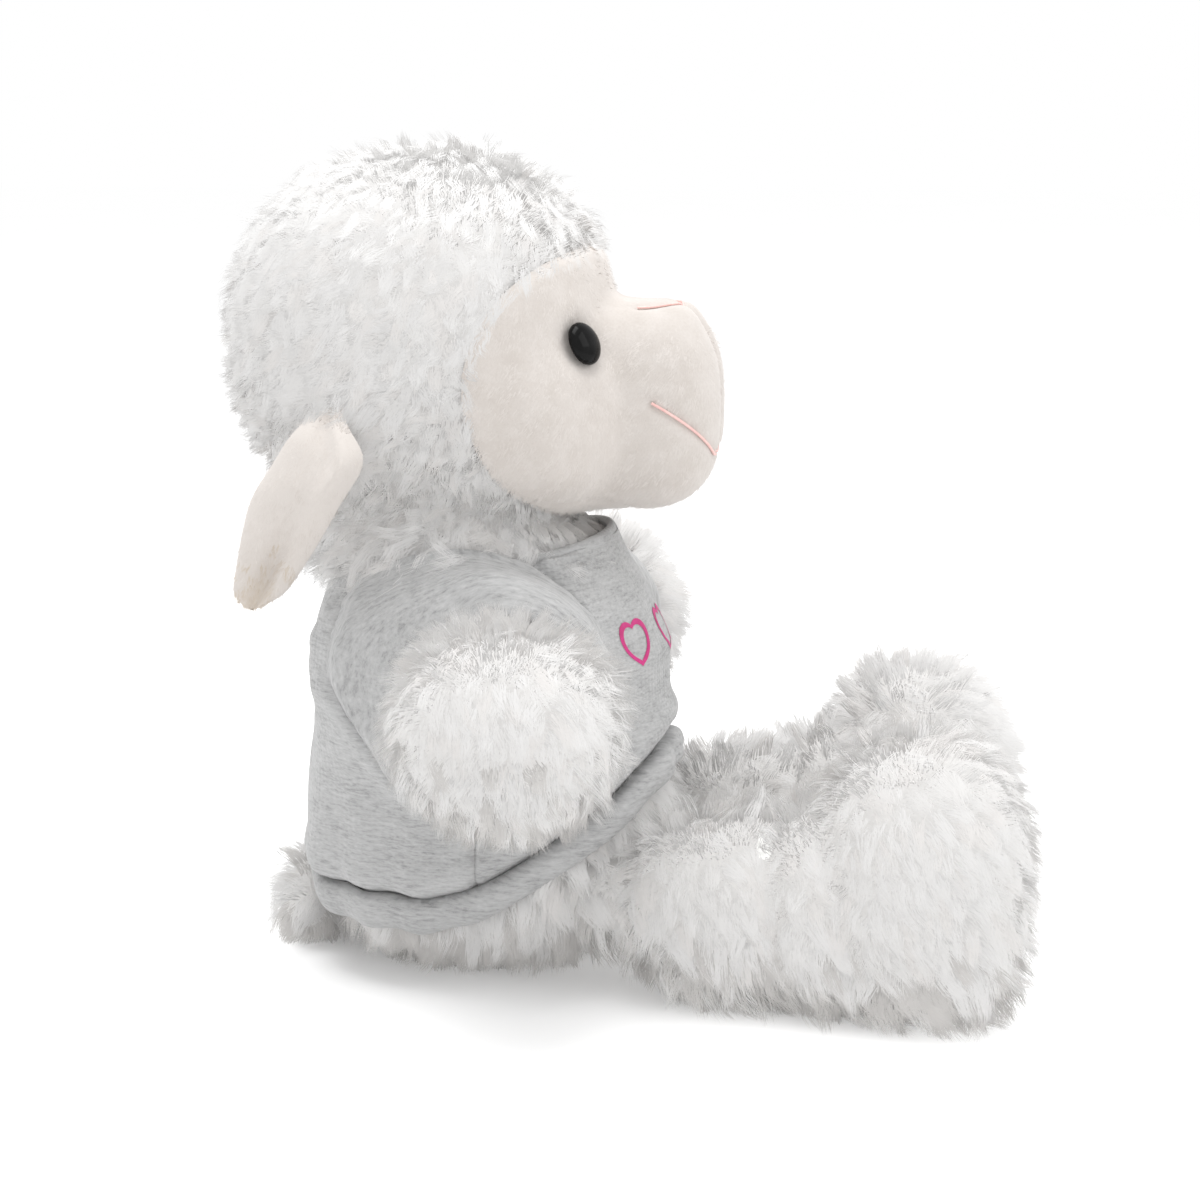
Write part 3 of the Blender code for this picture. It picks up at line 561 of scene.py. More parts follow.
def ear_colour():
    """Velour that turns tan along the middle of the ear, towards its tip."""
    look = new_look("ear_velour", VELOUR_TINTS[0], 0.95, **SOFT_SHEEN)
    cut = add(look, "ShaderNodeUVMap", uv_map="cut").outputs["UV"]
    parts = add(look, "ShaderNodeSeparateXYZ", (("Vector", cut),))
    across, down = parts.outputs["X"], parts.outputs["Y"]
    aside = maths(look, "MULTIPLY", maths(look, "ABSOLUTE", across, 0), 2.2)
    middle = maths(look, "SUBTRACT", 1.0, aside)
    worn_in = maths(look, "MULTIPLY", maths(look, "SUBTRACT", down, 0.45), 1.5)
    middle, worn_in = maths(look, "MAXIMUM", middle, 0.0), maths(look, "MAXIMUM", worn_in, 0.0)
    amount = maths(look, "MULTIPLY", middle, worn_in)
    quick = grain(look, 1600, 4)
    speckle = maths(look, "MULTIPLY", maths(look, "SUBTRACT", quick, 0.5), 0.5)
    mixed = maths(look, "ADD", amount, speckle)
    join(look, ramp(look, mixed, tuple(zip((0.0, 0.35, 0.85), VELOUR_TINTS))), "Base Color")
    join(look, bump(look, quick, 0.6, 0.00012), "Normal")
    return look


ear_velour = ear_colour()


def waves(look, scale, distortion, direction):
    """Raised rows along one direction of the cut."""
    where = place_of(look, scale, uv=True)
    inputs = (("Vector", where), ("Scale", 1.0), ("Distortion", distortion), ("Detail", 1.0))
    return add(look, "ShaderNodeTexWave", inputs, bands_direction=direction).outputs["Fac"]


def jersey_look(name, tone, ribs):
    """Heather knit: grey fibres streaked along the rows, over raised loops or ribs."""
    look = new_look(
        name, (tone,) * 3, 0.95, Sheen_Weight=0.2, Sheen_Roughness=0.5, Specular_IOR_Level=0.2
    )
    streaks = grain(look, (320, 1500, 1), 5, uv=True, roughness=0.75)
    clouds = grain(look, (90, 260, 1), 4, uv=True)
    mixed = weighed(look, streaks, 0.75, clouds, 0.25)
    stops = ((0.36, (tone * 0.66,) * 3), (0.48, (tone * 0.97,) * 3), (0.62, (tone * 1.16,) * 3))
    join(look, ramp(look, mixed, stops), "Base Color")
    rows = waves(look, (ribs, 1, 1), 0.6, "X")
    courses = waves(look, (1, ribs * COURSES_PER_RIB, 1), 0.8, "Y")
    knit = maths(look, "MULTIPLY", rows, courses)
    fluff = grain(look, (1800, 1800, 1), 3, uv=True)
    height = maths(look, "ADD", knit, maths(look, "MULTIPLY", fluff, 0.5))
    join(look, bump(look, height, 0.5, 0.00025), "Normal")
    return look


jersey = jersey_look("heather_jersey", 0.398, 180)
ribbing = jersey_look("heather_ribbing", 0.388, 150)

eye_look = new_look(
    "eye_gloss", (0.006, 0.005, 0.005), 0.16, Specular_IOR_Level=0.05, Coat_Weight=0.10,
    Coat_Roughness=0.03,
)
eye_tones = ramp(eye_look, grain(eye_look, 300), ((0.3, (0.003,) * 3), (0.7, (0.008,) * 3)))
join(eye_look, eye_tones, "Base Color")


# Fur

MOST_TRIANGLES = 190000
FEWEST_LOCKS = 8
STRAND_LENGTHS = (0.80, 1.08)
STRAND_GATHERS = (0.75, 1.1)
STRAND_WIDTHS = (0.7, 1.3)
STRAND_TAPER = 0.75
STRAND_ROLL = 0.22
STRAND_FLOOR = 0.0003
STRAND_FLOOR_SPREAD = 0.0006
ROUND_SHADE = 0.8


def fur(name, body, skin, facing_at, coat, keep, tones):
    """Pile on a skin: ribbons that leave it square and run together into locks."""
    points, faces = skin
    corners = points[np.asarray(faces)]
    one, other = corners[:, 1] - corners[:, 0], corners[:, 2] - corners[:, 0]
    areas = np.linalg.norm(np.cross(one, other), axis=-1) / 2
    count = int(areas.sum() * coat["density"])

    # Roots, spread evenly over the skin
    chosen = chance.choice(len(areas), count, p=areas / areas.sum())
    first, second = chance.random((2, count, 1))
    over = first + second > 1
    first, second = np.where(over, 1 - first, first), np.where(over, 1 - second, second)
    spots = corners[chosen]
    roots = spots[:, 0] + (spots[:, 1] - spots[:, 0]) * first + (spots[:, 2] - spots[:, 0]) * second
    roots = roots[keep(roots)]
    normals = facing_at(roots)
    count = len(roots)

    # Locks: each has a way, a length and a tone, and the strands nearest to it
    lock_count = max(FEWEST_LOCKS, int(count / coat["density"] / coat["spacing"] ** 2))
    heads = chance.choice(count, lock_count, replace=False)
    lock = nearest_in(roots[heads])(roots)
    centre, up = roots[heads], normals[heads]
    flow = coat["flow"](centre)
    flow = flow - up * (flow * up).sum(axis=-1, keepdims=True)
    stray = chance.normal(size=(lock_count, 3)) * coat["stray"]
    way = unit(up + flow * coat["lean"] + stray)
    size = coat["length"] * (1 + coat["uneven"] * chance.uniform(-1, 1, lock_count))
    size = size * coat["trim"](centre)
    tips = centre + way * size[:, None]
    across = unit(np.cross(way, chance.normal(size=(lock_count, 3))))
    beside = np.cross(way, across)
    phase = chance.uniform(0, 2 * math.pi, lock_count)
    rows = coat["rows"]
    tints = len(tones) // coat["shade_rows"]
    tone = chance.choice(tints - 1, lock_count, p=coat["tint_shares"])
    tone = np.where(chance.random(lock_count) < coat["last_tint"](centre, up), tints - 1, tone)

    # Strands, bent from square to the skin towards the tip of their lock
    own = size[lock] * chance.uniform(*STRAND_LENGTHS, count)
    loose = chance.normal(size=(count, 3)) * coat["loose"]
    own_way = unit(way[lock] + normals * coat["stand"] + loose)
    free_tip = roots + own_way * own[:, None]
    gather = coat["gather"] * chance.uniform(*STRAND_GATHERS, count)[:, None]
    end = free_tip + (tips[lock] - free_tip) * gather
    bend = roots + normals * own[:, None] * coat["bend"]
    line = []
    for row in range(rows + 1):
        t = row / rows
        spot = roots * (1 - t) ** 2 + bend * 2 * t * (1 - t) + end * t**2
        turn = (coat["curl_turns"] * 2 * math.pi * t + phase[lock])[:, None]
        swing = coat["curl"] * t * own[:, None]
        spot = spot + (across[lock] * np.cos(turn) + beside[lock] * np.sin(turn)) * swing
        low = STRAND_FLOOR + STRAND_FLOOR_SPREAD * chance.random(count)
        spot[:, 2] = np.maximum(spot[:, 2], low)
        line.append(spot)
    line = np.stack(line, axis=1)

    # Ribbons that face outward
    along = unit(np.gradient(line, axis=1))
    flat = np.cross(along, normals[:, None, :])
    flat = unit(flat + across[lock][:, None, :] * 1e-4)
    lift = np.cross(flat, along)
    roll = chance.uniform(-STRAND_ROLL, STRAND_ROLL, count)[:, None, None]
    side = flat * np.cos(roll) + lift * np.sin(roll)
    outward = (np.cross(side, along) * normals[:, None, :]).sum(axis=-1, keepdims=True)
    side = np.where(outward < 0, -side, side)
    width = coat["width"] * chance.uniform(*STRAND_WIDTHS, count)[:, None]
    shares = np.array([1 - STRAND_TAPER * (row / rows) ** 2 for row in range(rows)])
    half = side[:, :-1] * (width * shares[None, :])[:, :, None] / 2
    left, right = line[:, :-1] - half, line[:, :-1] + half
    stride = 2 * rows + 1
    verts = np.empty((count, stride, 3))
    verts[:, 0:-1:2] = left
    verts[:, 1:-1:2] = right
    verts[:, -1] = line[:, -1]
    outward = np.repeat(np.cross(side, along), 2, axis=1)[:, :stride]
    shade = unit(normals[:, None, :] * ROUND_SHADE + outward)

    # Meshes, each under MOST_TRIANGLES triangles
    pattern = []
    for row in range(rows - 1):
        low = 2 * row
        pattern += [(low, low + 1, low + 3), (low, low + 3, low + 2)]
    pattern.append((2 * rows - 2, 2 * rows - 1, 2 * rows))
    pattern = np.array(pattern)
    # Each row takes the tone of its row: painted shade, darkest at the root.
    level = np.minimum(np.repeat(np.arange(rows), 2)[: len(pattern)], coat["shade_rows"] - 1)
    groups = max(1, math.ceil(count * len(pattern) / MOST_TRIANGLES))
    order = np.argsort(roots[:, 1], kind="stable")
    made = []
    for index, part in enumerate(np.array_split(order, groups)):
        own_name = name if groups == 1 else f"{name}_{'abcdefgh'[index]}"
        triangles = (pattern[None] + (np.arange(len(part)) * stride)[:, None, None]).reshape(-1, 3)
        mesh = ribbon_mesh(
            own_name, verts[part].reshape(-1, 3), triangles, shade[part].reshape(-1, 3)
        )
        for look in tones:
            mesh.materials.append(look)
        slots = tone[lock[part]][:, None] * coat["shade_rows"] + level[None, :]
        mesh.polygons.foreach_set("material_index", slots.ravel().astype(np.int32))
        piece = linked(own_name, mesh)
        piece.visible_shadow = False
        piece.visible_diffuse = False
        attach(piece, body)
        made.append(piece)
    return made


def ribbon_mesh(name, verts, triangles, shade):
    mesh = bpy.data.meshes.new(name)
    mesh.vertices.add(len(verts))
    mesh.vertices.foreach_set("co", verts.ravel())
    mesh.loops.add(triangles.size)
    mesh.loops.foreach_set("vertex_index", triangles.ravel().astype(np.int32))
    mesh.polygons.add(len(triangles))
    mesh.polygons.foreach_set("loop_start", np.arange(0, triangles.size, 3, dtype=np.int32))
    mesh.update(calc_edges=True)
    mesh.shade_smooth()
    mesh.normals_split_custom_set_from_vertices(shade.tolist())
    return mesh


def toward(*way):
    way = np.array(way, float)
    return lambda places: np.broadcast_to(way, places.shape)


def evenly(places):
    return np.ones(len(places))


def painted_floor_shade(places, facing_way):
    """Locks that face the floor, or lie close to it, take the darker last tint: painted shade from
    the floor and the sheep above them.
    """
    return 0.75 * np.clip(-facing_way[:, 2], 0, 1) + 0.55 * portion(0.020 - places[:, 2], 0.020)


def from_crown(places):
    """Down the head, and away from its crown on top."""
    flow = unit(places - np.array(CROWN)) * np.array((1.5, 1.5, 0))
    return flow + np.array((0, 0.3, -1))


def painted_top_light(places, facing_way):
    """Locks that face the sky take the whiter last tint: painted light from above."""
    return 0.8 * portion(facing_way[:, 2] - 0.40, 0.45)


def nowhere(places, facing_way):
    return np.zeros(len(places))


LONG_COAT = {
    "density": 3.0e6,
    "spacing": 0.0034,
    "length": 0.0095,
    "uneven": 0.28,
    "lean": 1.15,
    "stray": 0.27,
    "stand": 0.2,
    "loose": 0.14,
    "bend": 0.42,
    "gather": 0.52,
    "curl": 0.08,
    "curl_turns": 0.7,
    "width": 0.00020,
    "rows": 3,
    "flow": toward(0, 0, -1),
    "trim": evenly,
    "shade_rows": 3,
    "tint_shares": (0.45, 0.35, 0.20),
    "last_tint": painted_floor_shade,
}
CURLY_COAT = {
    **LONG_COAT,
    "density": 3.8e6,
    "spacing": 0.0026,
    "length": 0.0066,
    "lean": 0.95,
    "stray": 0.38,
    "stand": 0.12,
    "loose": 0.18,
    "bend": 0.50,
    "gather": 0.54,
    "curl": 0.19,
    "width": 0.00018,
    "flow": from_crown,
    "last_tint": painted_top_light,
}
ARM_COAT = {
    **LONG_COAT, "density": 3.6e6, "length": 0.0069, "spacing": 0.0026, "lean": 1.15, "gather": 0.42
}
NAP = {
    **LONG_COAT,
    "density": 3.4e6,
    "spacing": 0.0020,
    "length": 0.0014,
    "uneven": 0.2,
    "lean": 2.4,
    "stray": 0.22,
    "stand": 0.1,
    "bend": 0.25,
    "gather": 0.2,
    "curl": 0,
    "width": 0.00016,
    "rows": 1,
    "shade_rows": 1,
    "tint_shares": (0.6, 0.4),
    "last_tint": nowhere,
}


# Torso, head and limbs

torso_lobes = shared_lobes(TORSO_TABLE, TORSO, TORSO_HALF)
head_lobes = shared_lobes(HEAD_TABLE, HEAD, HEAD_HALF) + [lobe(NECK, (NECK_BALL,) * 3)]
tail_lobes = [lobe(TAIL, TAIL_HALF, 2.2)]


def sided(place, side):
    return np.array((place[0] * side, place[1], place[2]), float)


def arm_lobes(side):
    root, step = sided(SHOULDER, side), sided(PAW_STEP, side)
    wrist = (SHOULDER_BALL + PAW_HALF[2]) / 2
    return [
        lobe(root, (SHOULDER_BALL,) * 3),
        lobe(root + step / 2, np.array((0.75, 0.88, 0.84)) * wrist),
        lobe(root + step, PAW_HALF, 2.2),
    ]


def leg_lobes(side):
    root, thigh, foot = sided(HIP, side), sided(THIGH, side), sided(FOOT, side)
    ankle = (thigh + foot) / 2
    ankle[1:] = foot[1] + ANKLE_BACK, ANKLE_HALF[2] - 0.0005
    top = HIP_BALL * 0.88
    return [
        lobe(root, (HIP_BALL,) * 3),
        lobe((root + thigh) / 2, (top, 0.0245, top)),
        lobe(thigh, THIGH_HALF, 2.2),
        lobe(ankle, ANKLE_HALF, 2.2),
        lobe(foot, FOOT_HALF, 2.3),
    ]


def lumpy(points, lobes, grow, size, depth, shift=0.0):
    return points + facing(points, lobes, grow) * (noise(points, size, shift) * depth)[:, None]


def off_floor(points, height):
    lifted = points.copy()
    lifted[:, 2] = np.maximum(lifted[:, 2], height)
    return lifted


def hem_height(y):
    share = np.maximum(HEM_RISE_START - y, 0) / (HEM_RISE_START - HEM_RISE_END)
    curved = HEM_FRONT_RISE * np.minimum(share, 1) ** HEM_POWER
    return HEM_BACK_HEIGHT + curved + HEM_FRONT_RISE * HEM_POWER * np.maximum(share - 1, 0)


def above_hem(points, lift=0.0):
    return points[:, 2] - hem_height(points[:, 1]) - lift


def from_face_edge(points):
    y, z = FACE_EDGE
    return np.hypot(points[:, 1] - y, points[:, 2] - z) - FACE_EDGE_RADIUS


def in_shirt(points, room=0.002):
    return (depth_in(points, torso_lobes, CLOTH + room) < 0) & (above_hem(points) > -room)


def outward_of(lobes, grow):
    return lambda places: facing(places, lobes, grow)


def outside_torso(roots):
    return ~(depth_in(roots, torso_lobes, CLOTH) < 0)


def woolly(name, body, skin, lobes, grow, node, coat, keep, tones=wool_tones):
    """A padded backing that stands for a node, and the pile on it."""
    backing = new_piece(name.format("backing"), body, *skin, wool_backing, "wool", (node,))
    fur(name.format("pile"), body, skin, outward_of(lobes, grow), coat, keep, tones)


HEAD_BACKING = -0.0035
FRONT_START = -0.002
FRONT_LENGTH = 0.015
NECK_SWELL = 0.0036
NECK_SWELL_IN_FRONT = 0.0078
NECK_SWELL_HEIGHT = 0.1000
NECK_SWELL_SPREAD = 0.0085
NECK_FUR = 1.1
NECK_FUR_LESS_IN_FRONT = 0.9
NECK_FUR_HEIGHT = 0.1010
NECK_FUR_SPREAD = 0.0090
EAR_FUR_SPREAD = 0.008
EAR_FUR_RISE = (0, 0, 0.0045)
SHORT_AT_FACE = 0.74


def in_front(points):
    """From zero at the sides of the neck to one at its front."""
    return portion(FRONT_START - points[:, 1], FRONT_LENGTH)


def make_head():
    points, faces = star_surface(HEAD_CORE, head_lobes, HEAD_BACKING, 90, 150)
    points = lumpy(points, head_lobes, HEAD_BACKING, 0.009, 0.0013)
    full = NECK_SWELL + NECK_SWELL_IN_FRONT * in_front(points)
    full = full * bell(points[:, 2] - NECK_SWELL_HEIGHT, NECK_SWELL_SPREAD)
    full = full * portion(from_face_edge(points), 0.006)
    points = points + facing(points, head_lobes, HEAD_BACKING) * full[:, None]
    points, faces = clipped(points, faces, from_face_edge(points) + 0.0012)
    skin = (points, triangulated(faces))

    def trim(places):
        edge = portion(from_face_edge(places), 0.010)
        neck = bell(places[:, 2] - NECK_FUR_HEIGHT, NECK_FUR_SPREAD)
        neck = (NECK_FUR - NECK_FUR_LESS_IN_FRONT * in_front(places)) * neck
        to_ear = np.abs(places) - np.array(EAR_ROOT) - np.array(EAR_FUR_RISE)
        at_ear = bell(np.linalg.norm(to_ear, axis=1), EAR_FUR_SPREAD)
        return (SHORT_AT_FACE + 0.26 * edge) * (1 + neck + at_ear)

    woolly(
        "head_wool_{}",
        "head",
        skin,
        head_lobes,
        HEAD_BACKING,
        "head_wool",
        {**CURLY_COAT, "trim": trim},
        outside_torso,
        head_tones,
    )


# Face

NOSE_WING = (
    (0.0105, -0.0395, 0.1588),
    (0.0095, -0.0420, 0.1585),
    (0.0070, -0.0450, 0.1580),
    (0.0040, -0.0472, 0.1573),
    (0, -0.0482, 0.1562),
)
NOSE_DROP = ((0, -0.0482, 0.1562), (0, -0.0535, 0.1460), (0, -0.0540, 0.1360), (0, -0.0515, 0.1225))
MOUTH = (
    (0, -0.0515, 0.1225),
    (0.0040, -0.0515, 0.1226),
    (0.0080, -0.0510, 0.1240),
    (0.0150, -0.0465, 0.1295),
    (0.0220, -0.0420, 0.1350),
)
CHIN_SEAM = (
    (-0.0330, -0.0080, 0.1130),
    (-0.0240, -0.0220, 0.1090),
    (-0.0120, -0.0330, 0.1075),
    (0, -0.0360, 0.1070),
    (0.0120, -0.0330, 0.1075),
    (0.0240, -0.0220, 0.1090),
    (0.0330, -0.0080, 0.1130),
)
NOSE_TOP = (0, -0.0465, 0.1580)
NOSE_TOP_SPREAD = (0.0150, 0.0055, 0.0055)
NOSE_TOP_SWELL = 0.0024
FACE_GROW = SHORT_PILE - PILE
FACE_TUCK = 0.0006
FACE_EDGE_DEPTH = 0.0016
EYE_DENT = 0.0013
EYE_DENT_WIDTH = 0.0075
EYE_RIM = 0.0007
EYE_RIM_RADIUS = 0.0085
EYE_RIM_WIDTH = 0.003
EYE_CLEAR = 0.0046
EYE_SHANK = (
    (0.0001, -0.0080),
    (0.0013, -0.0080),
    (0.0013, 0.0004),
    (0.0046, 0.0002),
    (0.0049, 0.0004),
)
EYE_RADIUS = 0.0050
EYE_ROUNDNESS = 0.9
EYE_BASE = 0.0009
EYE_DOME = 0.0025
EYE_POLE = 0.00002
EYE_STEPS = 24
THREAD_RADIUS = 0.00032
THREAD_LIFT = 0.0004
NAP_UPWARD = 0.40
NAP_UPWARD_SPREAD = 0.25


def stitch_lines():
    """Lines of stitches on the face, each with how deep it draws the velour in."""
    lines = [(smooth_line(NOSE_DROP, 40), 0.0022, 0.0030)]
    for side in (RIGHT, LEFT):
        lines.append((smooth_line([sided(spot, side) for spot in NOSE_WING], 36), 0.0010, 0.0018))
        lines.append((smooth_line([sided(spot, side) for spot in MOUTH], 40), 0.0009, 0.0016))
    return lines


def on_face(points):
    """Points moved along their line from the head's core onto the face."""
    directions = unit(points - np.array(HEAD_CORE))
    reach = reach_of(directions, HEAD_CORE, head_lobes, FACE_GROW)
    return np.array(HEAD_CORE) + directions * reach[:, None]


def face_dents(points):
    """How far the velour is drawn in by stitches and eyes."""
    dent = np.zeros(len(points))
    for line, deep, wide in stitch_lines() + [(smooth_line(CHIN_SEAM, 60), 0.0008, 0.0011)]:
        line = on_face(line)
        gap = np.min(np.linalg.norm(points[:, None] - line[None], axis=-1), axis=1)
        dent = np.maximum(dent, deep * bell(gap, wide))
    for side in (RIGHT, LEFT):
        gap = np.linalg.norm(points - sided(EYE, side), axis=-1)
        dent = dent + EYE_DENT * bell(gap, EYE_DENT_WIDTH)
        dent = dent - EYE_RIM * bell(gap - EYE_RIM_RADIUS, EYE_RIM_WIDTH)
    return dent


def face_relief(points, lift=0.0):
    """How far the velour stands off: the swelling on top of the nose, less the dents."""
    far = (((points - np.array(NOSE_TOP)) / np.array(NOSE_TOP_SPREAD)) ** 2).sum(axis=1)
    return lift + NOSE_TOP_SWELL * np.exp(-far) - face_dents(points)


def make_face():
    points, faces = star_surface(HEAD_CORE, head_lobes, FACE_GROW, 150, 260)
    points, faces = clipped(points, faces, FACE_TUCK - from_face_edge(points))
    normals = facing(points, head_lobes, FACE_GROW)
    points = points + normals * face_relief(points)[:, None]
    points = points + normals * (noise(points, 0.014, 3.1) * 0.0004)[:, None]
    edge = np.clip(1 + from_face_edge(points) / 0.0022, 0, 1)
    points = points - normals * (FACE_EDGE_DEPTH * edge**2)[:, None]
    face = new_piece("face_velour", "head", points, faces, velour, "velour", ("face_panel",))
    skin = (points, triangulated(faces))

    def keep(roots):
        clear = np.ones(len(roots), bool)
        for side in (RIGHT, LEFT):
            clear &= np.linalg.norm(roots - sided(EYE, side), axis=-1) > EYE_CLEAR
        upward = facing(roots, head_lobes, FACE_GROW)[:, 2]
        return clear & (upward < NAP_UPWARD + NAP_UPWARD_SPREAD * chance.random(len(roots)))

    nap = {**NAP, "flow": toward(0, 0.8, -1)}
    fur(
        "face_nap_pile", "head", skin, outward_of(head_lobes, FACE_GROW), nap, keep,
        velour_tones,
    )
    lines = []
    for line, _, _ in stitch_lines():
        line = on_face(line)
        out = facing(line, head_lobes, FACE_GROW)
        lines.append(line + out * face_relief(line, THREAD_LIFT)[:, None])
    thread("face_stitching", "head", lines, THREAD_RADIUS, pink_thread)


def make_eye(word, side):
    """A glossy domed button with a rounded rim, and its shank through the face."""
    place, look = sided(EYE, side), unit(sided(EYE_LOOK, side))
    profile = [*EYE_SHANK]
    for step in range(EYE_STEPS + 1):
        angle = math.pi / 2 * step / EYE_STEPS
        radius = EYE_RADIUS * math.cos(angle) ** EYE_ROUNDNESS
        profile.append((radius, EYE_BASE + EYE_DOME * math.sin(angle)))
    profile[-1] = (EYE_POLE, profile[-1][1])
    turned(
        f"eye_button_{word}", "head", profile, place, look, 56, eye_look, "eye_black",
        (f"eye_{word}",),
    )


def turned(name, body, profile, base, axis, sides, look, slot, stands_for):
    turn = turn_to(axis)
    angle = turns(sides)
    rings = [
        np.stack([r * np.cos(angle), r * np.sin(angle), 0 * angle + h], axis=1) for r, h in profile
    ]
    points = np.concatenate(rings) @ turn.T + np.array(base)
    faces = []
    for ring in range(len(profile) - 1):
        for step in range(sides):
            here, after = ring * sides + step, ring * sides + (step + 1) % sides
            faces.append((here, after, after + sides, here + sides))
    faces.append(tuple(range(sides))[::-1])
    faces.append(tuple(range((len(profile) - 1) * sides, len(profile) * sides)))
    return new_piece(name, body, points, faces, look, slot, stands_for)


# Ears: a folded leaf, two layers of short pile sewn round the edge

EAR_ROWS = 56
EAR_COLUMNS = 26
EAR_LENGTH = 0.0470
EAR_WIDTH = 0.0215
EAR_SWEEP = 0.0160
EAR_THICKNESS = 0.0040
EAR_ROOT_SHARE = 0.11
EAR_ROOT_DEPTH = 0.0090
EAR_TUCK = 0.0042
EAR_CREST = 0.0064
EAR_LEAN = 0.0042
EAR_CUP = 0.0022
EAR_FOLD = 0.0030
EAR_ROLL = 0.0034
EAR_PLEAT = 0.0034
EAR_BEND = 0.0024
EAR_PLACES = (-0.11, 0, 0.06, 0.14, 0.24, 0.36, 0.50, 0.65, 0.80, 0.91, 1.0)
EAR_WIDTH_SHARES = (0.08, 0.26, 0.42, 0.72, 0.93, 0.98, 0.93, 0.82, 0.68, 0.56, 0.24)


def ear_middle(down):
    """How far the middle of the ear lies back from its root."""
    return EAR_SWEEP * np.maximum(down, 0) ** 1.25 - EAR_BEND * bell(down - 0.24, 0.15)


def ear_drop():
    return math.sqrt(EAR_LENGTH**2 - EAR_SWEEP**2)


def ear_layer(side, lift):
    root = sided(EAR_ROOT, side)
    down = np.linspace(-EAR_ROOT_SHARE, 1, EAR_ROWS + 1)
    width = np.interp(down, EAR_PLACES, EAR_WIDTH_SHARES) * EAR_WIDTH
    width = np.convolve(np.pad(width, 2, "edge"), np.ones(5) / 5, "valid")
    width = width * np.sqrt(np.clip(1 - np.maximum((down - 0.90) / 0.10, 0) ** 2, 0, 1))
    across = np.sin(np.linspace(-1, 1, EAR_COLUMNS + 1) * math.pi / 2)
    down, across = np.meshgrid(down, across, indexing="ij")
    width = np.repeat(width[:, None], EAR_COLUMNS + 1, axis=1)
    at_edge = np.sqrt(np.clip(1 - across**4, 0, 1))
    at_tip = np.sqrt(np.clip(1 - portion(down - 0.8, 0.2) ** 4, 0, 1))
    fullness = at_edge * at_tip
    fullness = fullness * (0.5 + 0.5 * portion(down, 0.2))
    outer = np.maximum(down, 0)
    crest = EAR_CREST * (1 - np.exp(-outer / 0.10)) * (1 - 0.55 * outer)
    cup = EAR_CUP * np.sin(math.pi * outer) * (1 - across**2)
    fold = -EAR_FOLD * bell(across + 0.05, 0.32) * portion(down - 0.36, 0.35)
    fold = fold * (1 - 0.85 * portion(down - 0.80, 0.20))
    roll = EAR_ROLL * bell(across + 0.62, 0.26) * bell(down - 0.28, 0.20)
    pleat = -EAR_PLEAT * bell(across + 0.05, 0.26) * bell(down - 0.04, 0.12)
    out = EAR_LEAN * outer + crest + cup + fold + roll + pleat
    out = out + np.minimum(down, 0) / EAR_ROOT_SHARE * EAR_ROOT_DEPTH
    out = out - EAR_TUCK * bell(outer, 0.07)
    out = out + lift * EAR_THICKNESS / 2 * fullness
    back = ear_middle(down) + across * width / 2
    spots = np.stack([side * out, back, -ear_drop() * outer], axis=-1).reshape(-1, 3) + root
    spots = spots + facing_out(side) * (noise(spots, 0.007, 8.8) * 0.0004)[:, None]
    faces = []
    for row in range(EAR_ROWS):
        for column in range(EAR_COLUMNS):
            here = row * (EAR_COLUMNS + 1) + column
            leaf = (here, here + 1, here + EAR_COLUMNS + 2, here + EAR_COLUMNS + 1)
            faces.append(leaf if side * lift < 0 else leaf[::-1])
    return spots, faces


def facing_out(side):
    return np.array((side, 0.0, 0.0))


def ear_map(spots):
    """Across the ear, then down it."""
    down = (EAR_ROOT[2] - spots[:, 2]) / ear_drop()
    across = (spots[:, 1] - EAR_ROOT[1] - ear_middle(down)) / EAR_WIDTH
    return np.stack([across, down], axis=1)


def make_ear(word, side):
    for layer, lift in (("front", 1), ("back", -1)):
        points, faces = ear_layer(side, lift)
        name = f"ear_{layer}_leaf_{word}"
        leaf = new_piece(
            name, f"ear_{word}", points, faces, ear_velour, "velour", (f"ear_{layer}_{word}",),
            ear_map,
        )
        ear_nap(f"ear_{layer}_nap_pile_{word}", f"ear_{word}", points, faces)


def ear_nap(name, body, points, faces):
    skin = (points, triangulated(faces))
    corners = points[skin[1]]
    middles = corners.mean(axis=1)
    normals = unit(np.cross(corners[:, 1] - corners[:, 0], corners[:, 2] - corners[:, 0]))
    nearest = nearest_in(middles)

    def near(places):
        return normals[nearest(places)]

    def tan(places, facing_way):
        across, down = ear_map(places).T
        return 0.9 * portion(down - 0.62, 0.30) * bell(across, 0.30)

    nap = {**NAP, "flow": toward(0, 0.3, -1), "last_tint": tan}
    fur(name, body, skin, near, nap, always, velour_tones)


def always(roots):
    return np.ones(len(roots), bool)


# Limbs and tail

TORSO_BACKING = -0.0030
LIMB_BACKING = -0.0040
TAIL_BACKING = -0.0035
TAIL_LENGTH = 0.0075
PAW_SEAM_HEIGHT = 0.0700
PAW_SEAM_WIDTH = 0.0017
PAW_SEAM_START = 0.080
PAW_SEAM_TRIM = 0.72
UNDER_SLEEVE_PLACE = 0.0480
UNDER_SLEEVE_SPREAD = 0.0060
UNDER_SLEEVE_LENGTH = 0.28
SOLE_HEIGHT = 0.032
SOLE_SPREAD = 0.022


